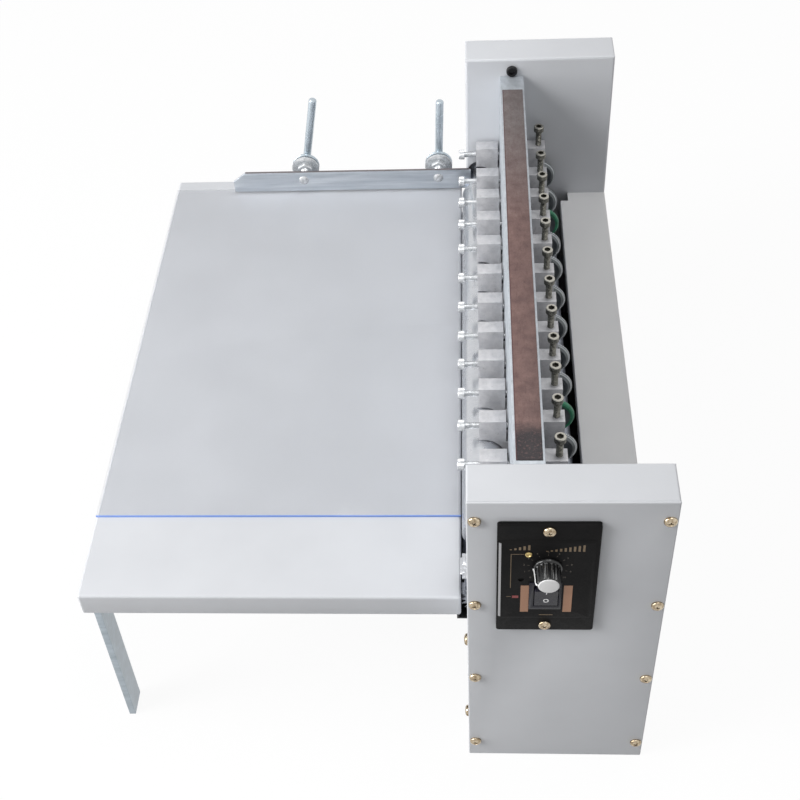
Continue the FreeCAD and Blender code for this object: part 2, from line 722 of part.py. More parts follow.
def outfeed_cover():
    """Top sheet with a turned-down inner edge, corner notches and a wall down to the base."""
    body = new_body("outfeed_cover")
    base = sketch(body, "XZ", -half_inner)
    gauge = d.outfeed_gauge
    left = d.outfeed_left
    top = d.outfeed_top
    outline(base, [
        (left, top - d.outfeed_lip),
        (left + gauge, top - d.outfeed_lip),
        (left + gauge, top - gauge),
        (half_housing - gauge, top - gauge),
        (half_housing - gauge, d.pan_gauge),
        (half_housing, d.pan_gauge),
        (half_housing, top),
        (left, top),
    ])
    pad(body, base, "XZ", d.inner_width)
    notches = sketch(body, "XY", top - d.outfeed_lip)
    reach = left + d.outfeed_notch_width
    rectangle(notches, left, -half_inner, reach, -half_inner + d.outfeed_notch_length)
    rectangle(notches, left, half_inner - d.outfeed_notch_length, reach, half_inner)
    pocket(body, notches, "XY", d.outfeed_lip)
    edge_x, edge_z = half_housing.value, top.value
    round_edges(body, lambda middle, run: abs(middle.x - edge_x) + abs(middle.z - edge_z) < 0.01, gauge)
    return body


def roller_bearings():
    """A flanged bearing at each end of each roller, seated in the walls."""
    bearings = []
    for number, (x, z) in enumerate(ROLLER_PLACES, start=1):
        for side in ("Near", "Far"):
            name = "Bearing%s%d" % (side, number)
            near = side == "Near"
            flange_from = -half_inner if near else half_inner - d.bearing_flange_gauge
            barrel_from = flange_from + d.bearing_flange_gauge - d.bearing_length if near else flange_from
            flange = bar(name + "Flange", "Y", (x, flange_from, z), RING_SIDES, d.bearing_flange,
                         d.bearing_flange_gauge)
            barrel = bar(name + "Barrel", "Y", (x, barrel_from, z), RING_SIDES, d.bearing_radius,
                         d.bearing_length)
            bore = rod(name + "Bore", "Y", (x, barrel_from, z), d.journal_radius + d.running_gap,
                       d.bearing_length)
            bearings.append(cut(name, fuse(name + "Body", [flange, barrel]), bore))
    return together("roller_bearings", bearings)


def gear(name, x, y, z, teeth, bore, first_tooth):
    """A spur gear whose teeth have straight flanks; first_tooth is the angle of one tooth's middle."""
    module = d.gear_module.value
    pitch = module * teeth / 2
    half_tooth = (math.pi * module / 2 - d.gear_backlash.value) / 2 / pitch
    slope = math.radians(d.gear_flank.value)
    rings = []
    for radius in (pitch - 1.25 * module, pitch + module):
        rings.append((radius, half_tooth - (radius - pitch) * math.tan(slope) / radius))
    (low, low_half), (high, high_half) = rings
    points = []
    for tooth in range(teeth):
        middle = math.radians(first_tooth) + 2 * math.pi * tooth / teeth
        for radius, turn in ((low, -low_half), (high, -high_half), (high, high_half), (low, low_half)):
            points.append(Vector(radius * math.cos(middle + turn), 0, radius * math.sin(middle + turn)))
    blank = Part.Face(Part.makePolygon(points + [points[0]])).extrude(Vector(0, d.gear_face.value, 0))
    hole = Part.makeCylinder(bore.value, d.gear_face.value, Vector(0, 0, 0), Vector(0, 1, 0))
    feature = doc.addObject("Part::Feature", name)
    feature.Shape = blank.cut(hole)
    feature.Placement = FreeCAD.Placement(Vector(x.value, y.value, z.value), FreeCAD.Rotation())
    return feature


# Angles that bring the gears' teeth into mesh at rest: a tooth of one meets a gap of the other.
def share(angle, first_tooth, teeth):
    """How far an angle lies into a tooth pitch, as a share of the pitch."""
    pitch = 360 / teeth
    return ((angle - first_tooth) / pitch) % 1


drive_lean = math.degrees(math.atan2(d.lower_axis.value - drive_axis.value, drive_half.value))
FEED_FIRST = 90.0
UPPER_FIRST = 270.0 + 180 / SMALL_GEAR_TEETH
drive_share = share(-drive_lean, FEED_FIRST, SMALL_GEAR_TEETH)
DRIVE_FIRST = 180 - drive_lean - (360 / DRIVE_GEAR_TEETH) * (0.5 - drive_share)
anvil_share = share(drive_lean, DRIVE_FIRST, DRIVE_GEAR_TEETH)
ANVIL_FIRST = 180 + drive_lean - (360 / SMALL_GEAR_TEETH) * (0.5 - anvil_share)


def roller(label, x, z, body_from, body_length, first_tooth):
    """A roller with its journals, and its gear at the near end."""
    shaft_length = d.inner_width + 2 * d.journal_stand
    shaft = rod(label + "Shaft", "Y", (x, -half_inner - d.journal_stand, z), d.journal_radius, shaft_length)
    barrel = rod(label + "Barrel", "Y", (x, body_from, z), d.roller_radius, body_length)
    turned = fuse(label + "Turned", [shaft, barrel])
    wheel = gear(label + "Gear", x, gear_near, z, SMALL_GEAR_TEETH, d.journal_radius + d.running_gap,
                 first_tooth)
    return together(label, [turned, wheel])


def drive_gear():
    """The gear motor's gear with its output shaft."""
    wheel = gear("DriveWheel", drive_offset, gear_near, drive_axis, DRIVE_GEAR_TEETH,
                 d.motor_shaft_radius + d.running_gap, DRIVE_FIRST)
    shaft = rod("DriveShaft", "Y", (drive_offset, gear_near, drive_axis), d.motor_shaft_radius,
                motor_face_gap() + d.gear_face + d.gearbox_length / 2)
    return together("drive_gear", [wheel, shaft])


def motor_face_gap():
    """Gear to the gearbox's face, over the bracket."""
    return d.bracket_gauge + d.bracket_gap


def gear_motor():
    """Gearbox and can behind a bracket that stands on the base."""
    face = gear_near + d.gear_face + motor_face_gap()
    low = drive_axis + d.gearbox_rise - d.gearbox_height
    left = drive_offset - d.gearbox_width / 2
    case = block("GearboxCase", (left, face, low), (d.gearbox_width, d.gearbox_length, d.gearbox_height))
    can = rod("MotorCan", "Y", (drive_offset, face + d.gearbox_length, low + d.gearbox_height / 2),
              d.motor_radius, d.motor_length)
    shaft_bore = rod("GearboxBore", "Y", (drive_offset, face, drive_axis),
                     d.motor_shaft_radius + d.running_gap, d.gearbox_length / 2 + d.slide_gap)
    motor = cut("MotorBored", fuse("MotorSolid", [case, can]), shaft_bore)
    plate = block("BracketPlate", (left, face - d.bracket_gauge, d.pan_gauge),
                  (d.gearbox_width, d.bracket_gauge, low + d.gearbox_height - d.pan_gauge))
    foot = block("BracketFoot", (left, face, d.pan_gauge), (d.gearbox_width, d.bracket_foot, d.bracket_gauge))
    plate_bore = rod("BracketBore", "Y", (drive_offset, face - d.bracket_gauge, drive_axis),
                     d.motor_shaft_radius + d.gear_spread, d.bracket_gauge)
    bracket = cut("MotorBracket", fuse("BracketSolid", [plate, foot]), plate_bore)
    return together("gear_motor", [motor, bracket])


def speed_control_unit():
    """Moulded face on the cover, with the case behind it, the spindle's bore and the rocker's well."""
    body = new_body("speed_control_unit")
    face = -outer_face - d.panel_gauge
    left = d.panel_offset - d.panel_width / 2
    right = d.panel_offset + d.panel_width / 2
    high = panel_low + d.panel_height
    base = sketch(body, "XZ", face)
    rectangle(base, left, panel_low, right, high)
    pad(body, base, "XZ", d.panel_gauge)
    round_edges(body, lambda middle, run: abs(run.y) > 1, d.panel_corner)
    case = sketch(body, "XZ", -outer_face)
    rectangle(case, d.panel_offset - d.control_width / 2, control_low,
              d.panel_offset + d.control_width / 2, control_low + d.control_height)
    pad(body, case, "XZ", d.control_depth)
    spindle = sketch(body, "XZ", face)
    circle(spindle, d.panel_offset, knob_axis, d.pot_radius + d.running_gap)
    pocket(body, spindle, "XZ", d.pot_depth)
    well = sketch(body, "XZ", face)
    half = d.rocker_width / 2 + d.rocker_gap
    rectangle(well, d.panel_offset - half, rocker_low - d.rocker_gap,
              d.panel_offset + half, rocker_low + d.rocker_height + d.rocker_gap)
    pocket(body, well, "XZ", well_depth())
    pins = sketch(body, "YZ", d.panel_offset - half - d.rocker_pin_length)
    circle(pins, rocker_pivot_y(), rocker_pivot_z(), d.rocker_pin_radius + d.running_gap)
    pocket(body, pins, "YZ", 2 * (half + d.rocker_pin_length))
    return body


def rocker_pivot_y():
    return -outer_face - d.panel_gauge + d.rocker_depth / 2


def rocker_pivot_z():
    return rocker_low + d.rocker_height / 2


def well_depth():
    """Deep enough for the rocker's lower corners on their swing."""
    return d.rocker_depth + d.rocker_room


def power_rocker():
    """Rocker with a dished face and two pivot pins, lying with its lower end pressed in."""
    body = new_body("power_rocker")
    left = d.panel_offset - d.rocker_width / 2
    base = sketch(body, "YZ", left)
    front = -d.rocker_rise - d.rocker_depth / 2
    back = d.rocker_depth / 2
    end = d.rocker_height / 2 - 2 * d.rocker_gap
    upright = [
        (back, -end / 2),
        (back, end / 2),
        (0, end),
        (front, end),
        (front + d.rocker_dish, 0),
        (front, -end),
        (0, -end),
    ]
    lean = sine(d.rocker_swing)
    rise = cosine(d.rocker_swing)
    outline(base, [(rocker_pivot_y() + u * rise - v * lean, rocker_pivot_z() + u * lean + v * rise)
                   for u, v in upright])
    pad(body, base, "YZ", d.rocker_width)
    pins = sketch(body, "YZ", left - d.rocker_gap - d.rocker_pin_length)
    circle(pins, rocker_pivot_y(), rocker_pivot_z(), d.rocker_pin_radius)
    pad(body, pins, "YZ", d.rocker_width + 2 * (d.rocker_gap + d.rocker_pin_length))
    return body


def speed_knob():
    """Skirted pointer knob with a light cap, on a spindle."""
    face = -outer_face - d.panel_gauge
    x = d.panel_offset
    z = knob_axis
    skirt_back = face - d.knob_panel_gap
    skirt = rod("KnobSkirt", "Y", (x, skirt_back - d.knob_skirt_length, z), d.knob_skirt_radius,
                d.knob_skirt_length)
    grip_length = d.knob_length - d.knob_skirt_length - d.knob_cap_length
    grip_from = skirt_back - d.knob_skirt_length - grip_length
    grip = rod("KnobGrip", "Y", (x, grip_from, z), d.knob_grip_radius, grip_length)
    cap = rod("KnobCap", "Y", (x, grip_from - d.knob_cap_length, z), d.knob_cap_radius, d.knob_cap_length)
    spindle = rod("KnobSpindle", "Y", (x, skirt_back, z), d.pot_radius,
                  d.knob_panel_gap + d.pot_depth - d.slide_gap)
    return fuse("speed_knob", [skirt, grip, cap, spindle])


def side_guide():
    """Guide strip with a cut corner, and two studs riveted through it, each with a nut and a washer."""
    body = new_body("GuideStrip")
    base = sketch(body, "XZ", guide_front)
    high = guide_low + d.guide_height
    left = guide_right - d.guide_left
    outline(base, [
        (left, guide_low),
        (guide_right, guide_low),
        (guide_right, high),
        (left + d.guide_chamfer_length, high),
        (left, high - d.guide_chamfer_height),
    ])
    pad(body, base, "XZ", d.guide_gauge)
    holes = sketch(body, "XZ", guide_front)
    for x in (stud_left, stud_right):
        circle(holes, x, stud_height, d.stud_radius + d.running_gap)
    pocket(body, holes, "XZ", d.guide_gauge)
    studs = []
    for name, x in (("Left", stud_left), ("Right", stud_right)):
        shank = rod("Stud" + name + "Shank", "Y", (x, guide_front, stud_height), d.stud_radius,
                    d.guide_gauge + d.stud_length)
        head = rod("Stud" + name + "Head", "Y", (x, guide_front - d.stud_head_height, stud_height),
                   d.stud_head_radius, d.stud_head_height)
        washer_from = ear_back - d.table_gauge - d.slide_gap - d.washer_gauge
        washer = bar("Stud" + name + "Washer", "Y", (x, washer_from, stud_height), RING_SIDES,
                     d.washer_radius, d.washer_gauge)
        nut = bar("Stud" + name + "Nut", "Y", (x, washer_from - d.stud_nut_length, stud_height), NUT_SIDES,
                  d.stud_nut_radius, d.stud_nut_length)
        studs.append(fuse("Stud" + name, [shank, head, washer, nut]))
    return together("side_guide", [body] + studs)


def clamp_lever(label, x, tilt, length):
    """Clamp lever behind the table's ear: two washers, a hub with a bevelled end and a rod."""
    washer_from = ear_back + d.slide_gap
    washers = bar(label + "Washers", "Y", (x, washer_from, stud_height), RING_SIDES, d.washer_radius,
                  2 * d.washer_gauge)
    hub_from = washer_from + 2 * d.washer_gauge
    hub = rod(label + "Hub", "Y", (x, hub_from, stud_height), d.hub_radius, d.hub_length)
    end = doc.addObject("Part::Cone", label + "End")
    bind(end, "Radius1", d.hub_radius)
    bind(end, "Radius2", d.hub_radius - d.hub_bevel)
    bind(end, "Height", d.hub_bevel)
    end.Placement = FreeCAD.Placement(Vector(), TURNS["Y"])
    for prop, size in zip(PLACE_PROPERTIES, (x, hub_from + d.hub_length, stud_height)):
        bind(end, prop, size)
    arm = doc.addObject("Part::Cylinder", label + "Arm")
    bind(arm, "Radius", d.lever_radius)
    bind(arm, "Height", length)
    arm.Placement = FreeCAD.Placement(Vector(), FreeCAD.Rotation(Vector(0, 1, 0), tilt.value))
    for prop, size in zip(PLACE_PROPERTIES, (x, hub_from + d.hub_length / 2, stud_height)):
        bind(arm, prop, size)
    solid = fuse(label + "Solid", [washers, hub, end, arm])
    bore = rod(label + "Bore", "Y", (x, washer_from, stud_height), d.stud_radius + d.running_gap,
               bore_length())
    return cut(label, solid, bore)


def bore_length():
    """Blind bore in a lever's hub, a little longer than the stud reaches."""
    return guide_front + d.guide_gauge + d.stud_length + 2 * d.slide_gap - (ear_back + d.slide_gap)


def blade_holder(number, y):
    """A block that straddles the beam from below, with its lock screw set in it."""
    tag = "%02d" % number
    low_y = y - d.holder_thickness / 2
    body = new_body("Head" + tag)
    base = sketch(body, "XZ", low_y)
    slot_left = beam_left - d.screw_side_gap
    slot_right = beam_right + d.slide_gap
    slot_floor = beam_low - d.slide_gap
    web_low = slot_floor - d.web_height
    outline(base, [
        (head_left, holder_top),
        (head_left, arm_low),
        (d.feed_offset, arm_low),
        (d.feed_offset, web_low),
        (slot_right, web_low),
        (slot_right, holder_bottom),
        (head_right, holder_bottom),
        (head_right, holder_top),
        (slot_right, holder_top),
        (slot_right, slot_floor),
        (slot_left, slot_floor),
        (slot_left, holder_top),
    ])
    pad(body, base, "XZ", d.holder_thickness)
    relief = sketch(body, "XZ", low_y)
    circle(relief, d.feed_offset, upper_axis, d.roller_radius + d.roller_relief)
    pocket(body, relief, "XZ", d.holder_thickness)
    slot = sketch(body, "XZ", y - d.wheel_slot / 2)
    rectangle(slot, d.anvil_offset - d.wheel_radius - d.slot_margin, holder_bottom, head_right, slot_top)
    pocket(body, slot, "XZ", d.wheel_slot)
    axle = sketch(body, "XZ", low_y)
    circle(axle, d.anvil_offset, wheel_axis, axle_bore)
    pocket(body, axle, "XZ", d.holder_thickness)
    press = sketch(body, "XY", slot_top)
    circle(press, d.anvil_offset, y, screw_bore)
    pocket(body, press, "XY", holder_top - slot_top)
    shank = d.lock_screw_stand + d.holder_left + d.screw_side_gap - d.lock_screw_tip_gap
    screw_from = head_left - d.lock_screw_stand - d.cap_height
    screw = cap_screw("Lock" + tag, "X", (screw_from, y, holder_top - d.lock_screw_drop), True, shank)
    return fuse("blade_holder_" + tag, [body, screw])


def ring(radii, along):
    """Corners round the Y axis that take the given radii in turn."""
    corners = []
    for number, radius in enumerate(radii):
        angle = 2 * math.pi * number / len(radii)
        corners.append(Vector(radius * math.cos(angle), along, radius * math.sin(angle)))
    return corners


def flat(corners):
    return Part.Face(Part.makePolygon(corners + [corners[0]]))


def between(first, second):
    """The solid between two rings with as many corners."""
    faces = [flat(first), flat(second)]
    for number in range(len(first)):
        following = (number + 1) % len(first)
        faces.append(flat([first[number], first[following], second[following], second[number]]))
    return Part.makeSolid(Part.makeShell(faces))


def perforating_wheel(number, y):
    """A wheel with its axle: a bevelled steel disc with a toothed edge, or a soft press wheel."""
    outer = d.wheel_radius.value
    half = d.wheel_width.value / 2
    if number in SOFT_WHEELS:
        edge = d.tread_width.value
        rim = [outer] * TREAD_SIDES
        shoulder = [outer] * TREAD_SIDES
        face = [outer - d.tread_bevel.value] * TREAD_SIDES
    else:
        edge = d.wheel_edge_width.value
        tooth_foot = outer - d.tooth_depth.value
        rim = [outer, tooth_foot] * WHEEL_TEETH
        shoulder = [tooth_foot] * WHEEL_TEETH
        face = [tooth_foot - d.wheel_bevel.value] * WHEEL_TEETH
    tread = flat(ring(rim, -edge / 2)).extrude(Vector(0, edge, 0))
    pieces = [between(ring(shoulder, side * edge / 2), ring(face, side * half)) for side in (-1, 1)]
    axle_half = d.holder_thickness.value / 2
    axle_end = flat(ring([d.axle_radius.value] * SHANK_SIDES, -axle_half))
    pieces.append(axle_end.extrude(Vector(0, 2 * axle_half, 0)))
    feature = doc.addObject("Part::Feature", "perforating_wheel_%02d" % number)
    feature.Shape = tread.multiFuse(pieces).removeSplitter()
    middle = Vector(d.anvil_offset.value, y.value, wheel_axis.value)
    feature.Placement = FreeCAD.Placement(middle, FreeCAD.Rotation())
    return feature


def pressure_screw(number, y):
    low = holder_top - d.pressure_screw_depth
    return cap_screw("pressure_screw_%02d" % number, "Z", (d.anvil_offset, y, low), False,
                     d.pressure_screw_depth + d.pressure_screw_stand)


def build_parts():
    parts = [
        housing_box("near_housing_box", -half_inner, -outer_face + d.cover_gauge),
        cover_plate("near_cover_plate", -outer_face, True),
        housing_box("far_housing_box", half_inner, outer_face - d.cover_gauge),
        cover_plate("far_cover_plate", outer_face - d.cover_gauge, False),
        pan_head_screws(),
        cross_beam(),
        beam_strip(),
        feed_table(),
        table_film(),
        table_legs(),
        body_pan(),
        outfeed_cover(),
        roller_bearings(),
        gear_motor(),
        speed_control_unit(),
        speed_knob(),
        power_rocker(),
        drive_gear(),
        side_guide(),
        clamp_lever("clamp_lever_left", stud_left, d.left_lever_tilt, d.left_lever_length),
        clamp_lever("clamp_lever_right", stud_right, d.right_lever_tilt, d.right_lever_length),
    ]
    long_from = -half_inner + d.gear_room
    long_length = d.inner_width - d.gear_room - d.roller_inset
    parts.append(roller("lower_feed_roller", d.feed_offset, d.lower_axis, long_from, long_length, FEED_FIRST))
    parts.append(roller("upper_feed_roller", d.feed_offset, upper_axis, -d.nip_length / 2, d.nip_length,
                        UPPER_FIRST))
    parts.append(roller("anvil_roller", d.anvil_offset, d.lower_axis, long_from, long_length, ANVIL_FIRST))
    for number in range(1, HEAD_COUNT + 1):
        y = getattr(d, "head_%02d_place" % number)
        parts.append(blade_holder(number, y))
        parts.append(perforating_wheel(number, y))
        parts.append(pressure_screw(number, y))
    return parts


parts = build_parts()
doc.recompute()
for thing in doc.Objects:
    for state in ("Invalid", "Error"):
        if state in thing.State:
            raise RuntimeError(thing.Name + " is " + state)
for part in parts:
    part.Label = part.Name
    if part.Shape.isNull() or not part.Shape.isValid():
        raise RuntimeError(part.Label + " has no valid shape")
os.makedirs("parts", exist_ok=True)
for part in parts:
    part.Shape.exportStep("parts/" + part.Label + ".step")
print(len(parts), "parts written")
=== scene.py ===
import math

import bmesh
import bpy
from mathutils import Matrix, Vector
from mathutils.bvhtree import BVHTree


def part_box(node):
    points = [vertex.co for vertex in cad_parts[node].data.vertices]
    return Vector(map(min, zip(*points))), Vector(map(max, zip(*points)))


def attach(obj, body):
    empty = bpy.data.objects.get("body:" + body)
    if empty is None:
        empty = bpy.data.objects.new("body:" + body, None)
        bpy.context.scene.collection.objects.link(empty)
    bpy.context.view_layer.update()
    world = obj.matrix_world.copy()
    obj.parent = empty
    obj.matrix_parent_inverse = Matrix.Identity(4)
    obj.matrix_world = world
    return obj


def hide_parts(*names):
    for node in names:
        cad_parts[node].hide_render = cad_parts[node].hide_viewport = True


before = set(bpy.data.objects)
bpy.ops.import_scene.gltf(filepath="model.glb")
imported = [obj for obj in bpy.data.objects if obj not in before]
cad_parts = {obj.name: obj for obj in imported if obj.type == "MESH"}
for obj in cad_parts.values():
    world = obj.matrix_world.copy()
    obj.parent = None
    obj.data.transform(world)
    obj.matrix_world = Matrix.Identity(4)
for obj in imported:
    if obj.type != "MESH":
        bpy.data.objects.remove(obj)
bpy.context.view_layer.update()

# Looks of the desk-top rotary perforator: sheet-metal housings, feed table, rollers and sliding heads.
# Lengths are in metres; MM turns the millimetres of the drawing into them.
MM = 0.001
UP = Vector((0, 0, 1))
ALONG = Vector((0, 1, 0))
ACROSS = Vector((1, 0, 0))
STANDING = Matrix.Rotation(math.pi / 2, 4, "X")    # a shape drawn in XY stands up and faces the front
HEADS = ["%02d" % n for n in range(1, 13)]
SOFT_WHEELS = ("03", "10")

# Places on the drawing that the pieces share.
WALL_FACE = 230 * MM                  # inner face of each housing, from the middle
ARM_LEFT = -54.5 * MM                 # outer face of a head's left arm
ARM_INNER = -35.3 * MM                # that arm's face towards the beam
BEAM_LEFT = -33.7 * MM                # the beam's left face
LOCK_AXIS = 201 * MM                  # height of the lock screws
WHEEL_AXIS = (0.6 * MM, 177 * MM)     # the wheels' axis, in X and Z
WHEEL_RADIUS = 16 * MM
WHEEL_TEETH = 60
STUD_AXIS = 172 * MM                  # height of the guide's studs
STRIP_BACK = 228 * MM                 # back of the guide's strip
KNOB_AXIS = (-13.2 * MM, 234 * MM)    # the knob's axis, in X and Z
FIELD_LOW = Vector((-44.2 * MM, 0, 179 * MM))     # corners of the speed control's raised field
FIELD_HIGH = Vector((16.2 * MM, 0, 260 * MM))
FIELD_RISE = 0.9 * MM
FIELD_SLOPE = 2.4 * MM                # how far the field's sides lean in

# The cap screws of the heads.
CAP_RADIUS = 4.25 * MM
CAP_HEIGHT = 5 * MM
SHANK_RADIUS = 2.5 * MM

# Light.
FLOOR_WHITE = 0.94                    # share of the floor that shows as plain white
WORLD_LEVEL = 0.24                    # what the surroundings give the object
AIM = (-0.1, 0.0, 0.15)               # where the two lamps on the left point

# Most of a noise texture's values lie in this span.
NOISE = (0.3, 0.7)


# Shader maths

class Wire:
    """A shader socket that arithmetic can be written on."""

    def __init__(self, graph, socket):
        self.graph = graph
        self.socket = socket

    def maths(self, operation, first, second):
        return self.graph.add("ShaderNodeMath", {"operation": operation}, {0: first, 1: second})

    def __add__(self, other):
        return self.maths("ADD", self, other)

    def __radd__(self, other):
        return self.maths("ADD", other, self)

    def __sub__(self, other):
        return self.maths("SUBTRACT", self, other)

    def __rsub__(self, other):
        return self.maths("SUBTRACT", other, self)

    def __mul__(self, other):
        return self.maths("MULTIPLY", self, other)

    def __rmul__(self, other):
        return self.maths("MULTIPLY", other, self)

    def __lt__(self, other):
        return self.maths("LESS_THAN", self, other)

    def __or__(self, other):
        return self.maths("MAXIMUM", self, other)

    def __pow__(self, other):
        return self.maths("POWER", self, other)

    def out(self, name):
        return Wire(self.graph, self.socket.node.outputs[name])


class Graph:
    """The nodes of a material or of the world; add() is the one way that other nodes come in."""

    def __init__(self, tree):
        self.nodes = tree.nodes
        self.links = tree.links

    def add(self, kind, settings=None, values=None):
        node = self.nodes.new(kind)
        for key, value in (settings or {}).items():
            setattr(node, key, value)
        for key, value in (values or {}).items():
            self.feed(node.inputs[key], value)
        return Wire(self, next(s for s in node.outputs if s.enabled))

    def feed(self, socket, value):
        if isinstance(value, Wire):
            self.links.new(value.socket, socket)
        else:
            socket.default_value = value

    def seen_directly(self):
        """1 for what the camera, a reflection or a clear sheet shows, 0 for light that falls on things."""
        path = self.add("ShaderNodeLightPath")
        return path.out("Is Camera Ray") | path.out("Is Glossy Ray") | path.out("Is Transmission Ray")


class Look(Graph):
    """A material on a Principled shader, patterned on Object coordinates."""

    def __init__(self, name, **constants):
        self.material = bpy.data.materials.new(name)
        self.material.use_nodes = True
        super().__init__(self.material.node_tree)
        self.shader = self.nodes["Principled BSDF"]
        self.place = self.add("ShaderNodeTexCoord").out("Object")
        for socket, value in constants.items():
            self.shader.inputs[socket.replace("_", " ")].default_value = value

    def set(self, socket, value):
        self.feed(self.shader.inputs[socket], value)

    def stretched(self, x, y, z):
        """Object coordinates with the pattern drawn out: a small number makes long marks on that axis."""
        return self.add("ShaderNodeMapping", None, {"Vector": self.place, "Scale": (x, y, z)})

    def noise(self, size, detail=2.0, rough=0.5, place=None):
        """Noise whose blotches are about size metres across."""
        values = {"Vector": place or self.place, "Scale": 1 / size, "Detail": detail, "Roughness": rough}
        return self.add("ShaderNodeTexNoise", {"noise_dimensions": "3D"}, values)

    def spread(self, value, span, to=(0.0, 1.0)):
        """value moved from its span to another, held at the ends."""
        ends = {"From Min": span[0], "From Max": span[1], "To Min": to[0], "To Max": to[1]}
        return self.add("ShaderNodeMapRange", {"clamp": True}, {"Value": value, **ends})

    def mix(self, share, first, second):
        return self.add("ShaderNodeMix", {"data_type": "RGBA"}, {0: share, 6: first, 7: second})

    def axis(self, name):
        return self.add("ShaderNodeSeparateXYZ", None, {0: self.place}).out(name)

    def bump(self, height, depth, strength):
        return self.add("ShaderNodeBump", None, {"Height": height, "Distance": depth, "Strength": strength})


def tone(red, green, blue):
    """A colour given as it looks on a screen, from 0 to 255, as the linear colour that a shader takes."""
    def linear(value):
        value = value / 255
        return value / 12.92 if value <= 0.04045 else ((value + 0.055) / 1.055) ** 2.4
    return (linear(red), linear(green), linear(blue), 1.0)


# Finishes

def powder_coat(name, base, shade):
    """Satin powder coat with a fine orange peel and a faint unevenness."""
    look = Look(name)
    cloud = look.noise(0.06, detail=3.0)
    look.set("Base Color", look.mix(look.spread(cloud, NOISE), shade, base))
    peel = look.noise(0.0011, detail=2.0, rough=0.6)
    look.set("Roughness", look.spread(peel, NOISE, to=(0.42, 0.56)))
    look.set("Normal", look.bump(peel, depth=0.00006, strength=0.5))
    return look.material


def zinc(name, dark, light, cut_edge=None):
    """Zinc plate on drawn steel: bluish, with long faint streaks, small dull spots and a brown cut edge."""
    look = Look(name, Metallic=0.7)
    streak = look.noise(0.003, detail=3.0, rough=0.6, place=look.stretched(0.06, 0.5, 1.0))
    spots = look.noise(0.0016, detail=4.0, rough=0.75)
    color = look.mix(look.spread(streak, NOISE), dark, light)
    color = look.mix(look.spread(spots, (0.62, 0.72), to=(0.0, 0.4)), color, tone(128, 134, 140))
    if cut_edge:
        browned = look.spread(look.axis("Z"), (cut_edge - 0.5 * MM, cut_edge - 0.3 * MM), to=(0.0, 0.9))
        color = look.mix(browned, color, tone(104, 94, 94))
    look.set("Base Color", color)
    look.set("Roughness", look.spread(streak, NOISE, to=(0.28, 0.42)))
    look.set("Normal", look.bump(spots, depth=0.00003, strength=0.4))
    return look.material


def turned_steel(name, light, dark, rough, metallic=0.9):
    """Steel turned or ground round its length."""
    look = Look(name, Metallic=metallic)
    rings = look.noise(0.0012, detail=3.0, rough=0.6, place=look.stretched(0.12, 1.0, 0.12))
    cloud = look.noise(0.02, detail=3.0)
    look.set("Base Color", look.mix(look.spread(rings, NOISE), dark, light))
    look.set("Roughness", look.spread(cloud, (0.35, 0.65), to=(rough - 0.05, rough + 0.08)))
    look.set("Normal", look.bump(rings, depth=0.00002, strength=0.5))
    return look.material


def milled_aluminium(name, light, dark):
    """Sawn and milled aluminium block: matt, with fine cutter marks and a little grime."""
    look = Look(name, Metallic=0.35)
    marks = look.noise(0.0007, detail=2.0, rough=0.5, place=look.stretched(0.08, 1.0, 1.0))
    cloud = look.noise(0.006, detail=3.0, rough=0.6)
    grime = look.noise(0.0025, detail=4.0, rough=0.7)
    color = look.mix(look.spread(cloud, NOISE), dark, light)
    color = look.mix(look.spread(grime, (0.60, 0.74), to=(0.0, 0.45)), color, tone(126, 122, 118))
    look.set("Base Color", color)
    look.set("Roughness", look.spread(marks, NOISE, to=(0.40, 0.56)))
    look.set("Normal", look.bump(marks, depth=0.00004, strength=0.6))
    return look.material


def plated(name, light, dark, rough, metallic=1.0, blotch=2.2 * MM):
    """Bright plated steel of screws, studs and levers, with a little tarnish."""
    look = Look(name, Metallic=metallic)
    cloud = look.noise(blotch, detail=3.0, rough=0.6)
    look.set("Base Color", look.mix(look.spread(cloud, (0.35, 0.68)), light, dark))
    look.set("Roughness", look.spread(cloud, (0.35, 0.7), to=(rough, rough + 0.14)))
    return look.material


def pressure_steel():
    """Oiled dark steel of the pressure screws, with a painted highlight on the top rims of their heads."""
    look = Look("pressure_steel", Metallic=0.85)
    cloud = look.noise(0.0022, detail=3.0, rough=0.6)
    body = look.mix(look.spread(cloud, (0.35, 0.68)), tone(128, 126, 118), tone(76, 76, 72))
    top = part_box("pressure_screw_01")[1].z
    # Painted highlight: the top rim of each head is coloured light, where it catches the lamps.
    worn = look.spread(look.axis("Z"), (top - 0.8 * MM, top - 0.5 * MM))
    look.set("Base Color", look.mix(worn, body, tone(184, 181, 172)))
    look.set("Roughness", look.spread(cloud, (0.35, 0.7), to=(0.22, 0.36)))
    return look.material


def wheel_steel():
    """Blued wheel whose rim shows as a thin light line: partly its ground steel, partly a painted
    highlight.
    """
    look = Look("wheel_steel", Metallic=0.8)
    across = look.axis("X") - WHEEL_AXIS[0]
    rise = look.axis("Z") - WHEEL_AXIS[1]
    out = (across * across + rise * rise) ** 0.5
    rings = look.noise(0.0012, detail=3.0, rough=0.6, place=look.stretched(0.12, 1.0, 0.12))
    body = look.mix(look.spread(rings, NOISE), tone(74, 78, 80), tone(104, 108, 110))
    # The light rim colour is partly the ground steel and partly a painted highlight.
    ground = look.spread(out, (WHEEL_RADIUS - 1.5 * MM, WHEEL_RADIUS - 1.1 * MM))
    look.set("Base Color", look.mix(ground, body, tone(186, 190, 192)))
    look.set("Roughness", look.spread(rings, NOISE, to=(0.28, 0.42)))
    look.set("Normal", look.bump(rings, depth=0.00002, strength=0.5))
    return look.material


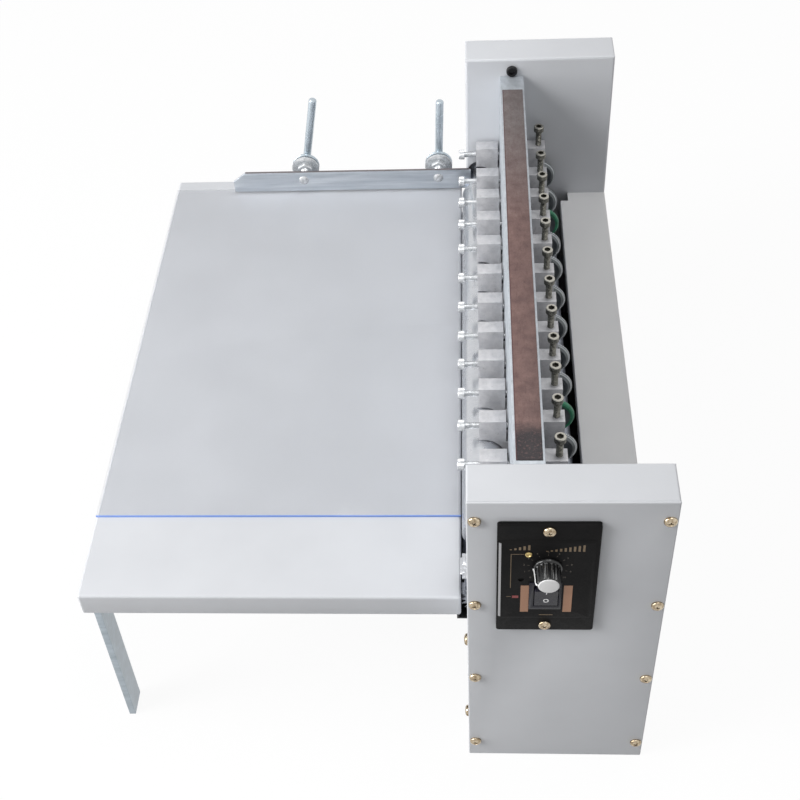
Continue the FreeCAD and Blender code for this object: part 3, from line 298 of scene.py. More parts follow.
def strip_brown():
    """Mottled brown: greyer at the far end, pinkish in the middle, dark and flecked at the near end."""
    look = Look("strip_brown")
    along = look.axis("Y")
    left_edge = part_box("beam_strip")[0].x
    grain = look.noise(0.0011, detail=4.0, rough=0.75)
    streak = look.noise(0.0016, detail=3.0, rough=0.7, place=look.stretched(1.0, 0.22, 1.0))
    cloud = look.noise(0.011, detail=4.0, rough=0.65)
    flecks = look.noise(0.0019, detail=3.0, rough=0.8)
    middle = look.mix(look.spread(cloud, (0.32, 0.68)), tone(96, 72, 69), tone(124, 97, 92))
    far = look.mix(look.spread(cloud, (0.32, 0.68)), tone(92, 82, 81), tone(118, 110, 109))
    pale = look.mix(look.spread(along + 0.08 * cloud, (0.07, 0.2)), middle, far)
    pale = look.mix(look.spread(streak, (0.50, 0.72), to=(0.0, 0.5)), pale, tone(84, 58, 55))
    pale = look.mix(look.spread(grain, (0.50, 0.74), to=(0.0, 0.5)), pale, tone(80, 70, 66))
    dark = look.mix(look.spread(flecks, (0.54, 0.66)), tone(24, 14, 19), tone(82, 60, 60))
    near = look.spread(along + 0.02 * cloud, (-0.182, -0.168), to=(1.0, 0.0))
    color = look.mix(near, pale, dark)
    rim = look.spread(look.axis("X"), (left_edge + 0.4 * MM, left_edge + 0.9 * MM), to=(0.85, 0.0))
    look.set("Base Color", look.mix(rim, color, tone(70, 34, 36)))
    look.set("Roughness", look.spread(grain, NOISE, to=(0.42, 0.68)))
    look.set("Normal", look.bump(grain, depth=0.00008, strength=0.6))
    return look.material


def moulded_black(name, color, shade, rough, grain_size, depth, gloss=0.3):
    """Dark plastic or black-finished steel with a fine grain of the given depth."""
    look = Look(name, Specular_IOR_Level=gloss)
    grain = look.noise(grain_size, detail=2.0, rough=0.6)
    cloud = look.noise(0.012, detail=3.0)
    look.set("Base Color", look.mix(look.spread(cloud, NOISE), color, shade))
    look.set("Roughness", look.spread(grain, NOISE, to=(rough - 0.06, rough + 0.10)))
    look.set("Normal", look.bump(grain, depth=depth, strength=0.6))
    return look.material


def clear_sheet():
    """Clear plastic sheet: nearly all light passes, and the cut near edge looks blue."""
    look = Look("clear_sheet", IOR=1.5)
    edge_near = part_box("table_film")[0].y + 0.7 * MM
    wave = look.noise(0.05, detail=2.0)
    on_edge = look.axis("Y") < edge_near
    look.set("Base Color", look.mix(on_edge, tone(196, 200, 208), tone(128, 160, 230)))
    look.set("Alpha", look.spread(on_edge, (0.0, 1.0), to=(0.12, 1.0)))
    look.set("Roughness", look.spread(wave, NOISE, to=(0.05, 0.10)))
    look.set("Normal", look.bump(wave, depth=0.0002, strength=0.2))
    return look.material


def tread_green():
    """Green rubber tread of the soft wheels."""
    look = Look("tread_green")
    cloud = look.noise(0.004, detail=3.0)
    look.set("Base Color", look.mix(look.spread(cloud, NOISE), tone(18, 92, 62), tone(52, 134, 100)))
    look.set("Roughness", look.spread(cloud, NOISE, to=(0.38, 0.55)))
    look.set("Normal", look.bump(look.noise(0.0006), depth=0.00004, strength=0.5))
    return look.material


def printed(name, color, worn):
    """Screen-printed ink, a little broken."""
    look = Look(name)
    grain = look.noise(0.0005, detail=3.0, rough=0.8)
    look.set("Base Color", look.mix(look.spread(grain, (0.5, 0.7), to=(0.0, 0.5)), color, worn))
    look.set("Roughness", look.spread(grain, NOISE, to=(0.4, 0.6)))
    return look.material


COAT = powder_coat("pale_coat", tone(219, 221, 225), tone(213, 215, 219))
COAT_GREY = powder_coat("grey_coat", tone(222, 222, 222), tone(218, 218, 219))
ZINC = zinc("zinc_plate", tone(190, 197, 204), tone(216, 221, 227), cut_edge=181.1 * MM)
LEG_ZINC = zinc("zinc_leg", tone(150, 162, 170), tone(184, 194, 202))
BEAM_STEEL = milled_aluminium("beam_face", tone(196, 202, 208), tone(174, 180, 186))
ALUMINIUM = milled_aluminium("milled_block", tone(212, 211, 213), tone(190, 190, 193))
POLISHED = turned_steel("polished_roller", tone(204, 206, 210), tone(196, 198, 202), rough=0.24)
ROLLER_STEEL = turned_steel("roller_steel", tone(158, 162, 172), tone(122, 126, 134), rough=0.30)
WHEEL_STEEL = wheel_steel()
NICKEL = plated("nickel_screw", tone(206, 192, 168), tone(132, 112, 86), rough=0.12)
BRIGHT = plated("bright_screw", tone(232, 234, 236), tone(186, 188, 190), rough=0.18, metallic=0.6)
PRESS_STEEL = pressure_steel()
CHROME = plated("lever_chrome", tone(196, 206, 213), tone(176, 187, 195), rough=0.20, metallic=0.7,
                blotch=14 * MM)
# Painted shade: the bearings are coloured dark so that the gap between the table and the near housing,
# where they show, reads as shade.
BEARING_STEEL_PAINTED_SHADE = turned_steel("bearing_steel_painted_shade", tone(84, 86, 90), tone(60, 62, 66), rough=0.36)
# Black finish of the wall screws; the same colour also paints the shade at the bottom of the cover screws'
# recesses.
DARK_CAP_AND_RECESS_SHADE = moulded_black("black_screw_and_recess_shade", tone(16, 16, 18), tone(26, 26, 28),
                         rough=0.36, grain_size=0.0006, depth=0.00002)
PANEL_BLACK = moulded_black("panel_black", tone(22, 21, 21), tone(13, 13, 14),
                            rough=0.56, grain_size=0.0009, depth=0.00010, gloss=0.1)
KNOB_BLACK = moulded_black("knob_black", tone(10, 10, 11), tone(18, 18, 19),
                           rough=0.16, grain_size=0.0010, depth=0.00002, gloss=0.6)
ROCKER_NAVY = moulded_black("rocker_navy", tone(20, 18, 36), tone(14, 14, 24),
                            rough=0.26, grain_size=0.0010, depth=0.00002)
MOTOR_GREY = powder_coat("motor_enamel", tone(58, 60, 62), tone(48, 50, 52))
# Painted shade: the base pan is coloured near black so that the gap beside the outfeed cover reads as deep
# shade.
PAN_PAINTED_SHADE = powder_coat("pan_painted_shade", tone(34, 35, 37), tone(26, 27, 29))
WHITE = printed("print_white", tone(250, 250, 250), tone(236, 236, 236))
# Painted highlight: a light stripe on the raised field's left slope, where light from the left falls; made
# with the ink finish.
BEVEL_HIGHLIGHT = printed("bevel_painted_highlight", tone(168, 168, 170), tone(132, 132, 134))
COPPER = printed("print_copper", tone(182, 136, 108), tone(140, 106, 80))
GOLD = printed("print_gold", tone(128, 108, 82), tone(84, 70, 56))
FAINT = printed("print_faint", tone(96, 88, 78), tone(66, 62, 58))
RED = printed("print_red", tone(150, 66, 66), tone(96, 46, 46))
BRASS = plated("brass_bezel", tone(206, 184, 128), tone(140, 122, 80), rough=0.22)
STRIP = strip_brown()
CLEAR = clear_sheet()
GREEN = tread_green()


# Mesh making

def move(bm, matrix):
    """Move, turn or stretch a whole mesh."""
    bmesh.ops.transform(bm, matrix=matrix, verts=bm.verts)


def turned(profile, steps=48):
    """A closed solid turned from (radius, height) pairs about Z that start and end on the axis."""
    bm = bmesh.new()
    ring = [bm.verts.new((radius, 0, height)) for radius, height in profile]
    edges = [bm.edges.new(pair) for pair in zip(ring, ring[1:])]
    bmesh.ops.spin(bm, geom=ring + edges, cent=(0, 0, 0), axis=UP, angle=2 * math.pi, steps=steps,
                   use_merge=True)
    bmesh.ops.remove_doubles(bm, verts=bm.verts, dist=1e-7)
    bmesh.ops.recalc_face_normals(bm, faces=bm.faces)
    return bm


def turned_mm(*profile, steps=48):
    """turned() from a profile in millimetres."""
    return turned([(radius * MM, height * MM) for radius, height in profile], steps)


def ridged(bm, ridges, rise, low, high):
    """Press the side in between two heights, in a number of ridges round it: a knurl or a knob's flutes."""
    for vert in bm.verts:
        flat = math.hypot(vert.co.x, vert.co.y)
        if flat > 1 * MM and low < vert.co.z < high:
            wave = 0.5 - 0.5 * math.cos(math.atan2(vert.co.y, vert.co.x) * ridges)
            shrink = (flat - rise * wave) / flat
            vert.co.x *= shrink
            vert.co.y *= shrink
    return bm


def facing(direction):
    """A turn that points a solid's +Z along direction."""
    return UP.rotation_difference(direction).to_matrix().to_4x4()


def bevel(bm, edges, width, segments):
    """Cut or round these edges by width."""
    bmesh.ops.bevel(bm, geom=edges, offset=width, segments=segments, profile=0.5, affect="EDGES",
                    material=-1, clamp_overlap=True)


def soften(bm, width, segments=2, angle=28):
    """Bevel the edges that fold by more than angle degrees."""
    limit = math.radians(angle)
    folds = [e for e in bm.edges if len(e.link_faces) == 2 and e.calc_face_angle(0.0) > limit]
    bevel(bm, folds, width, segments)


def bend(bm, planes, radius, segments=5):
    """Round the edges where two of the planes, each an (axis, place), meet: a sheet's outer bends."""
    def lies_on(edge, axis, where):
        return all(abs(v.co[axis] - where) < 0.02 * MM for v in edge.verts)

    edges = [e for e in bm.edges if sum(lies_on(e, *plane) for plane in planes) > 1]
    bevel(bm, edges, radius, segments)


def slab(low, high):
    """A box between two corners."""
    bm = bmesh.new()
    bmesh.ops.create_cube(bm, size=1.0)
    low, high = Vector(low), Vector(high)
    move(bm, Matrix.Translation((low + high) / 2) @ Matrix.Diagonal((*(high - low), 1)))
    return bm


def prism(outline, depth):
    """A closed solid from a flat outline in XY, raised by depth along Z."""
    bm = bmesh.new()
    face = bm.faces.new([bm.verts.new((u, v, 0)) for u, v in outline])
    raised = bmesh.ops.extrude_face_region(bm, geom=[face])
    top = [v for v in raised["geom"] if isinstance(v, bmesh.types.BMVert)]
    bmesh.ops.translate(bm, verts=top, vec=(0, 0, depth))
    bmesh.ops.recalc_face_normals(bm, faces=bm.faces)
    return bm


def prism_mm(*outline, depth):
    """prism() from an outline and a depth in millimetres."""
    return prism([(u * MM, v * MM) for u, v in outline], depth * MM)


def hexagon(reach, depth):
    """A six-sided bar along Z, reach from its middle to a corner, with the origin at its middle."""
    bm = bmesh.new()
    bmesh.ops.create_cone(bm, cap_ends=True, segments=6, radius1=reach, radius2=reach, depth=depth)
    return bm


def join(*parts):
    """Several bmesh solids as one; each may come with its matrix."""
    whole = bmesh.new()
    for part in parts:
        bm, matrix = part if isinstance(part, tuple) else (part, Matrix.Identity(4))
        mesh = bpy.data.meshes.new("part")
        bm.to_mesh(mesh)
        mesh.transform(matrix)
        whole.from_mesh(mesh)
        bpy.data.meshes.remove(mesh)
    return whole


def piece(name, bm, material, body, stands_for=(), angle=32):
    """Make the object, let it ride on its body and stand for CAD nodes."""
    mesh = bpy.data.meshes.new(name)
    bm.to_mesh(mesh)
    bm.free()
    mesh.materials.append(material)
    mesh.shade_smooth()
    mesh.set_sharp_from_angle(angle=math.radians(angle))
    thing = bpy.data.objects.new(name, mesh)
    bpy.context.scene.collection.objects.link(thing)
    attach(thing, body)
    if stands_for:
        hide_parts(*stands_for)
    return thing


def solids_of(node):
    """A copy of the node's mesh, merged, with its flat faces whole."""
    bm = bmesh.new()
    bm.from_mesh(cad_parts[node].data)
    bmesh.ops.remove_doubles(bm, verts=bm.verts, dist=2e-6)
    bmesh.ops.dissolve_limit(bm, angle_limit=math.radians(0.5), verts=bm.verts, edges=bm.edges)
    return bm


def linked_to(vert):
    """All vertices joined by edges to this one."""
    found, grow = {vert}, [vert]
    while grow:
        for edge in grow.pop().link_edges:
            for other in edge.verts:
                if other not in found:
                    found.add(other)
                    grow.append(other)
    return found


def islands(bm):
    """The separate solids of a bmesh, each with its vertices and its lowest and highest corner."""
    seen, found = set(), []
    for vert in bm.verts:
        if vert not in seen:
            solid = linked_to(vert)
            seen |= solid
            low = Vector([min(v.co[axis] for v in solid) for axis in range(3)])
            high = Vector([max(v.co[axis] for v in solid) for axis in range(3)])
            found.append((solid, low, high))
    return found


def dressed(node, material, body="machine_frame", width=0.0, angle=32):
    """A CAD node with its edges broken."""
    bm = solids_of(node)
    if width:
        soften(bm, width)
    return piece(node + "_finish", bm, material, body, (node,), angle)


def cut_with(bm, cutter):
    """bm with the cutter's solid taken away."""
    objects = []
    for name, solid in (("cut_base", bm), ("cut_tool", cutter)):
        mesh = bpy.data.meshes.new(name)
        solid.to_mesh(mesh)
        solid.free()
        thing = bpy.data.objects.new(name, mesh)
        bpy.context.scene.collection.objects.link(thing)
        objects.append(thing)
    base, tool = objects
    modifier = base.modifiers.new("cut", "BOOLEAN")
    modifier.object = tool
    modifier.solver = "EXACT"
    bpy.context.view_layer.update()
    result = bmesh.new()
    evaluated = base.evaluated_get(bpy.context.evaluated_depsgraph_get())
    result.from_mesh(evaluated.to_mesh())
    evaluated.to_mesh_clear()
    for thing in objects:
        mesh = thing.data
        bpy.data.objects.remove(thing)
        bpy.data.meshes.remove(mesh)
    return result


# Screws

def cross_head():
    """Pan head with a cross recess, its seat at Z 0 and the head above it."""
    head = turned_mm((0, 0), (4.1, 0), (4.2, 0.3), (4.15, 0.9), (3.8, 1.6), (3.1, 2.15), (2.0, 2.48),
                     (1.0, 2.58), (0, 2.6), steps=32)
    for turn in (0, math.pi / 2):
        arm = slab((-2.2 * MM, -0.42 * MM, 1.1 * MM), (2.2 * MM, 0.42 * MM, 4 * MM))
        low = [v for v in arm.verts if v.co.z < 2 * MM]
        bmesh.ops.scale(arm, verts=low, vec=(0.45, 0.6, 1))
        move(arm, Matrix.Rotation(turn, 4, "Z"))
        head = cut_with(head, arm)
    return head


def recess_floor():
    """Painted shade: a dark cross at the bottom of a cross recess; one arm lies a hair above the other."""
    arms = []
    for turn, lift in ((0, 0), (math.pi / 2, 0.01 * MM)):
        arm = slab((-1.3 * MM, -0.36 * MM, 1.0 * MM), (1.3 * MM, 0.36 * MM, 1.5 * MM))
        arms.append((arm, Matrix.Rotation(turn, 4, "Z") @ Matrix.Translation((0, 0, lift))))
    return join(*arms)


def socket_head(radius, height):
    """Knurled cap screw head with a hexagon socket, standing on Z 0."""
    chamfer = 0.45 * MM
    bm = turned([(0, 0), (radius - chamfer / 2, 0), (radius, chamfer / 2), (radius, height - chamfer),
                 (radius - chamfer, height), (0, height)], steps=72)
    ridged(bm, 36, 0.16 * MM, chamfer / 3, height - chamfer / 2)
    socket = hexagon(0.62 * radius, 2 * height)
    move(socket, Matrix.Translation((0, 0, 1.5 * height)))
    return cut_with(bm, socket)


def threaded(radius, length, pitch=0.8 * MM, steps=20):
    """Threaded shank from Z 0 up to length, drawn as close grooves."""
    depth = 0.3 * MM
    profile = [(0, 0), (radius - depth, 0)]
    for number in range(int(length / pitch)):
        low = number * pitch
        profile += [(radius - depth, low + 0.1 * pitch), (radius, low + 0.42 * pitch),
                    (radius, low + 0.58 * pitch), (radius - depth, low + 0.9 * pitch)]
    profile += [(radius - depth, length), (0, length)]
    return turned(profile, steps)


def cover_screws():
    """A cross-recess screw on the seat of each head that the CAD node has, with a dark cross of painted
    shade in its recess.
    """
    node = solids_of("pan_head_screws")
    # floor is the dark cross of painted shade that goes deep in each recess.
    head, floor = cross_head(), recess_floor()
    parts, recess_shades = [], []
    for number, (_, low, high) in enumerate(islands(node)):
        middle = (low + high) / 2
        if high.x - low.x < high.y - low.y:
            out, seat = -ACROSS, Vector((high.x, middle.y, middle.z))
        elif middle.y < 0:
            out, seat = -ALONG, Vector((middle.x, high.y, middle.z))
        else:
            out, seat = ALONG, Vector((middle.x, low.y, middle.z))
        # Each screw was tightened to another angle.
        stand = Matrix.Translation(seat) @ facing(out) @ Matrix.Rotation(0.4 + number * 1.1, 4, "Z")
        parts.append((head, stand))
        recess_shades.append((floor, stand))
    piece("cover_screws", join(*parts), NICKEL, "machine_frame", ("pan_head_screws",))
    # Painted shade: a dark cross that darkens the bottom of each recess.
    piece("cover_screw_recess_shade", join(*recess_shades), DARK_CAP_AND_RECESS_SHADE, "machine_frame")
    head.free()
    floor.free()
    node.free()


# Perforating heads

def heads():
    """The twelve heads: block, lock screw, pressure screw and wheel; all the screws share one head."""
    head = socket_head(CAP_RADIUS, CAP_HEIGHT)
    for tag in HEADS:
        head_block(tag)
        lock_screw(tag, head)
        pressure_screw(tag, head)
        wheel(tag)
    head.free()


def head_block(tag):
    """The block without the lock screw that its node carries; the holes it leaves are closed."""
    node = "blade_holder_" + tag
    bm = solids_of(node)
    screw = [v for v in bm.verts if abs(v.co.z - LOCK_AXIS) < CAP_HEIGHT
             and (v.co.x < ARM_LEFT - 0.1 * MM or ARM_INNER + 0.1 * MM < v.co.x < BEAM_LEFT)]
    bmesh.ops.delete(bm, geom=screw, context="VERTS")
    bmesh.ops.holes_fill(bm, edges=[e for e in bm.edges if e.is_boundary], sides=0)
    bmesh.ops.dissolve_limit(bm, angle_limit=math.radians(0.5), verts=bm.verts, edges=bm.edges)
    soften(bm, 0.35 * MM)
    piece("head_block_" + tag, bm, ALUMINIUM, "head_" + tag, (node,))


def lock_screw(tag, head):
    """The cap screw that goes through the left arm to the beam."""
    low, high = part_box("blade_holder_" + tag)
    seat = Vector((low.x + CAP_HEIGHT, (low.y + high.y) / 2, LOCK_AXIS))
    shank = threaded(SHANK_RADIUS, BEAM_LEFT - 0.2 * MM - seat.x)
    piece("lock_screw_" + tag, join((head, Matrix.Translation(seat) @ facing(-ACROSS)),
                                    (shank, Matrix.Translation(seat) @ facing(ACROSS))),
          BRIGHT, "head_" + tag)


def pressure_screw(tag, head):
    """The upright cap screw that presses the wheel down."""
    node = "pressure_screw_" + tag
    low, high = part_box(node)
    x, y = (low.x + high.x) / 2, (low.y + high.y) / 2
    seat = Vector((x, y, high.z - CAP_HEIGHT))
    shank = threaded(SHANK_RADIUS, seat.z - low.z)
    piece("pressure_screw_body_" + tag, join((head, Matrix.Translation(seat)),
                                             (shank, Matrix.Translation((x, y, low.z)))),
          PRESS_STEEL, "press_" + tag, (node,))


def wheel(tag):
    """Perforating wheel on its axle: a disc with cutting teeth, or one with a rubber tread."""
    node = "perforating_wheel_" + tag
    low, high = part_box(node)
    stand = Matrix.Translation((low + high) / 2) @ facing(ALONG)
    axle = turned_mm((0, -6), (2.3, -6), (2.5, -5.8), (2.5, 5.8), (2.3, 6), (0, 6), steps=24)
    if tag in SOFT_WHEELS:
        disc = turned_mm((0, -2.2), (12.9, -2.2), (12.9, 2.2), (0, 2.2), steps=72)
        tread = turned_mm((0, -2.1), (14.6, -2.2), (15.7, -1.5), (16, -0.8), (16, 0.8), (15.7, 1.5),
                          (14.6, 2.2), (0, 2.1), steps=72)
        bore = turned_mm((0, -4), (12.9, -4), (12.9, 4), (0, 4), steps=72)
        tread = join((cut_with(tread, bore), stand))
        piece("wheel_tread_" + tag, tread, GREEN, "wheel_" + tag)
    else:
        disc = turned_mm((0, -2.2), (6, -2.2), (6.3, -1.7), (10.6, -1.7), (10.9, -2.2), (12.9, -2.2),
                         (15.1, -0.7), (15.1, 0.7), (12.9, 2.2), (10.9, 2.2), (10.6, 1.7), (6.3, 1.7),
                         (6, 2.2), (0, 2.2), steps=72)
        disc = join(disc, (tooth_ring(), Matrix.Translation((0, 0, -0.7 * MM))))
    disc = join((disc, stand), (axle, stand))
    piece("wheel_disc_" + tag, disc, WHEEL_STEEL, "wheel_" + tag, (node,))


def tooth_ring():
    """The disc's rim cut into fine teeth, 1.4 mm thick."""
    outline = []
    for tooth in range(WHEEL_TEETH):
        for radius, share in ((15.1, -0.42), (16, -0.22), (16, 0.22), (15.1, 0.42)):
            angle = (tooth + share) * 2 * math.pi / WHEEL_TEETH
            outline.append((radius * MM * math.cos(angle), radius * MM * math.sin(angle)))
    return prism(outline, 1.4 * MM)


# Rollers, bearings and drive

def rollers():
    """The turned and cast pieces between the housings, which keep the CAD's shapes."""
    dressed("upper_feed_roller", POLISHED, "upper_feed", 0.25 * MM)
    dressed("lower_feed_roller", ROLLER_STEEL, "lower_feed", 0.25 * MM)
    dressed("anvil_roller", ROLLER_STEEL, "anvil", 0.25 * MM)
    dressed("drive_gear", ROLLER_STEEL, "motor_output", 0.15 * MM)
    # The bearings' dark colour paints the shade of the gap beside the near housing.
    dressed("roller_bearings", BEARING_STEEL_PAINTED_SHADE, width=0.2 * MM)
    dressed("gear_motor", MOTOR_GREY, width=0.4 * MM)


# Beam

def beam():
    """The bar with its bolts, the black screws in the walls above it, and the strip on its top."""
    bm = solids_of("cross_beam")
    strip_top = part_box("beam_strip")[1].z
    parts = []
    head = socket_head(radius=4.7 * MM, height=3.2 * MM)
    for solid, low, high in islands(bm):
        if low.z > strip_top - 2 * MM:
            middle = (low + high) / 2
            inward = -ALONG if middle.y > 0 else ALONG
            wall = Vector((middle.x, math.copysign(WALL_FACE, middle.y), middle.z))
            parts.append((head, Matrix.Translation(wall) @ facing(inward)))
            bmesh.ops.delete(bm, geom=list(solid), context="VERTS")
    soften(bm, 0.5 * MM)
    piece("beam_bar", bm, BEAM_STEEL, "machine_frame", ("cross_beam",))
    piece("wall_screws", join(*parts), DARK_CAP_AND_RECESS_SHADE, "machine_frame")
    head.free()
    dressed("beam_strip", STRIP, width=0.25 * MM)


# Table, guide and levers

def table():
    """The table's sheet with its outer bends rounded, the clear sheet on it and the legs."""
    bm = solids_of("feed_table")
    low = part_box("feed_table")[0]
    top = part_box("table_film")[0].z
    bend(bm, [(2, top), (0, low.x), (1, low.y)], 1.3 * MM)
    soften(bm, 0.3 * MM)
    piece("table_top", bm, COAT, "machine_frame", ("feed_table",))
    dressed("table_film", CLEAR, width=0.15 * MM)
    dressed("table_legs", LEG_ZINC, width=0.4 * MM)


def guide():
    """The strip, and on each stud a riveted head, a domed washer, a nut and the thread."""
    bm = solids_of("side_guide")
    parts = []
    for solid, low, high in islands(bm):
        if high.y > STRIP_BACK + 1 * MM:
            x = (low.x + high.x) / 2
            parts += stud(Vector((x, STRIP_BACK, STUD_AXIS)), high.y)
            bmesh.ops.delete(bm, geom=list(solid), context="VERTS")
    soften(bm, 0.3 * MM)
    piece("guide_strip", bm, ZINC, "guide", ("side_guide",))
    piece("guide_studs", join(*parts), BRIGHT, "guide")


def stud(seat, end):
    """One stud's solids: seat is the middle of its hole in the strip's back, end the Y where it ends."""
    stand = Matrix.Translation(seat) @ facing(ALONG)
    rivet = turned_mm((0, -3.5), (1.4, -3.4), (2.8, -3.05), (3.9, -2.5), (4.5, -2.0), (4.0, -1.95),
                      (4.0, 1), (0, 1), steps=40)
    thread = threaded(4.0 * MM, end - seat.y, pitch=1.25 * MM, steps=28)
    washer = turned_mm((0, 14.6), (7.6, 14.6), (10.8, 15.2), (12.5, 16.2), (12.5, 17.2), (0, 17.2))
    nut = hexagon(7.5 * MM, 4.4 * MM)
    move(nut, Matrix.Translation((0, 0, 12.8 * MM)))
    soften(nut, 0.5 * MM, angle=20)
    return [(rivet, stand), (thread, stand), (washer, stand), (nut, stand)]


def lever(side, x, tilt, length):
    """Clamp lever behind the table's ear: two bevelled washers, the hub and a rod that leans by tilt."""
    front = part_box("clamp_lever_" + side)[0].y
    washers = turned_mm((0, 0), (12.1, 0), (12.5, 0.3), (12.5, 1.2), (12.1, 1.55), (12.1, 1.65),
                        (12.5, 2.0), (12.5, 2.9), (12.1, 3.2), (0, 3.2))
    hub = turned_mm((0, 3.0), (7.0, 3.0), (7.0, 10.4), (6.7, 11.0), (6.0, 11.3), (0, 11.4), steps=40)
    rod = turned_mm((0, 0), (3.6, 0), (3.6, length - 1.6), (3.3, length - 0.7), (2.6, length - 0.1),
                    (0, length), steps=32)
    centre = Matrix.Translation((x, front, STUD_AXIS)) @ facing(ALONG)
    lean = Vector((math.sin(math.radians(tilt)), 0, math.cos(math.radians(tilt))))
    stand = Matrix.Translation((x, front + 6.9 * MM, STUD_AXIS)) @ facing(lean)
    piece("lever_" + side, join((washers, centre), (hub, centre), (rod, stand)), CHROME, "lever_" + side,
          ("clamp_lever_" + side,))


# Speed control

def on_front(bm):
    """Turn a solid drawn flat in XY so that it stands in XZ and its +Z faces the front."""
    move(bm, STANDING)
    return bm


def control_panel():
    """The moulded face with its raised field, a painted highlight on the field's left slope, lamp bezel,
    marks, knob and rocker.
    """
    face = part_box("speed_control_unit")[0].y
    field = face - FIELD_RISE
    dressed("speed_control_unit", PANEL_BLACK, width=0.5 * MM)
    piece("control_field", raised_field(face, field), PANEL_BLACK, "machine_frame")
    # Painted highlight: a light strip laid on the field's left slope, which faces the light from the left.
    edge = slab((-43.6 * MM, face - 0.06 * MM, 181.5 * MM), (-42.1 * MM, face + 0.2 * MM, 257.5 * MM))
    for vert in edge.verts:
        vert.co.y -= (vert.co.x - FIELD_LOW.x) * FIELD_RISE / FIELD_SLOPE
    piece("field_edge_highlight", edge, BEVEL_HIGHLIGHT, "machine_frame")
    piece("rocker_bezel", rocker_bezel(field), ROCKER_NAVY, "machine_frame")
    bezel = turned_mm((0, 0), (2.3, 0), (2.3, 0.5), (1.9, 0.9), (1.3, 0.9), (1.1, 0.5), (0, 0.45), steps=32)
    move(bezel, Matrix.Translation((-25.3 * MM, field, 246.9 * MM)) @ facing(-ALONG))
    piece("lamp_bezel", bezel, BRASS, "machine_frame")
    panel_marks(field)
    knob(field)
    rocker()


def raised_field(face, field):
    """Raised middle of the face with sloping sides, open for the rocker and the knob's shaft."""
    bm = slab(FIELD_LOW + field * ALONG, FIELD_HIGH + face * ALONG)
    front = [v for v in bm.verts if v.co.y < (face + field) / 2]
    middle, half = (FIELD_LOW + FIELD_HIGH) / 2, (FIELD_HIGH - FIELD_LOW) / 2
    lean = (1 - FIELD_SLOPE / half.x, 1, 1 - FIELD_SLOPE / half.z)
    bmesh.ops.scale(bm, verts=front, vec=lean, space=Matrix.Translation(-middle))
    bm = cut_with(bm, rocker_opening(field - 1 * MM, face + 1 * MM))
    hole = turned_mm((0, -4), (1.8, -4), (1.8, 4), (0, 4), steps=24)
    move(hole, Matrix.Translation((-29.4 * MM, face, 221 * MM)) @ facing(ALONG))
    bm = cut_with(bm, hole)
    soften(bm, 0.2 * MM, segments=1)
    return bm


def rocker_opening(front, back):
    """A solid that cuts the opening for the rocker."""
    return slab((-21.1 * MM, front, 194.1 * MM), (-5.3 * MM, back, 214.9 * MM))


def rocker_bezel(field):
    """Low frame round the rocker."""
    ring = slab((-24.2 * MM, field - 0.7 * MM, 190.5 * MM), (-3.6 * MM, field + 0.2 * MM, 218.5 * MM))
    bm = cut_with(ring, rocker_opening(field - 2 * MM, field + 2 * MM))
    soften(bm, 0.3 * MM)
    return bm


def panel_marks(field):
    """Stripes, lines, scale ticks and figures printed on the raised field."""
    def bar(x0, z0, x1, z1):
        return slab((x0 * MM, field - 0.03 * MM, z0 * MM), (x1 * MM, field + 0.01 * MM, z1 * MM))

    stripes = join(bar(-29.5, 187, -24.3, 215), bar(-2.3, 187, 3.2, 215))
    piece("panel_stripes", stripes, COPPER, "machine_frame")
    lines = [bar(-36.2, 246.7, -28.2, 247.1), bar(-36.2, 212.5, -35.8, 246.7),
             bar(-38.5, 203.2, -35.5, 203.6)]
    for number in range(5):
        lines.append(bar(-37 + 2.8 * number, 251, -35.6 + 2.8 * number, 251.8 + number))
    for number in range(9):
        lines.append(bar(-14.8 + 2.8 * number, 249.6, -13.4 + 2.8 * number, 250.2 + 0.7 * number))
    lines.append(bar(-17.2, 183.4, -8.4, 184))
    piece("panel_lines", join(*lines), GOLD, "machine_frame")
    piece("panel_mark", bar(-34.8, 201.8, -30.8, 204.4), RED, "machine_frame")
    ticks = []
    centre = Vector((KNOB_AXIS[0], field + 0.01 * MM, KNOB_AXIS[1]))
    for number in range(11):
        angle = math.radians(225 - 27 * number)
        tick = slab((11.4 * MM, -0.15 * MM, 0), (12.8 * MM, 0.15 * MM, 0.04 * MM))
        move(tick, Matrix.Rotation(angle, 4, "Z"))
        ticks.append((on_front(tick), Matrix.Translation(centre)))
        offset = Vector((math.cos(angle), 0, math.sin(angle))) * 14.9 * MM
        ticks.append((figure(str(number), 2.3 * MM), Matrix.Translation(centre + offset)))
    piece("dial_marks", join(*ticks), FAINT, "machine_frame")


def figure(text, size):
    """A printed figure as a thin solid that faces the front, centred on the origin."""
    curve = bpy.data.curves.new("figure", "FONT")
    curve.body = text
    curve.size = size
    curve.align_x = "CENTER"
    curve.align_y = "CENTER"
    curve.extrude = 0.03 * MM
    thing = bpy.data.objects.new("figure", curve)
    bpy.context.scene.collection.objects.link(thing)
    bpy.context.view_layer.update()
    mesh = bpy.data.meshes.new_from_object(thing)
    bpy.data.objects.remove(thing)
    bpy.data.curves.remove(curve)
    bm = bmesh.new()
    bm.from_mesh(mesh)
    bpy.data.meshes.remove(mesh)
    return on_front(bm)


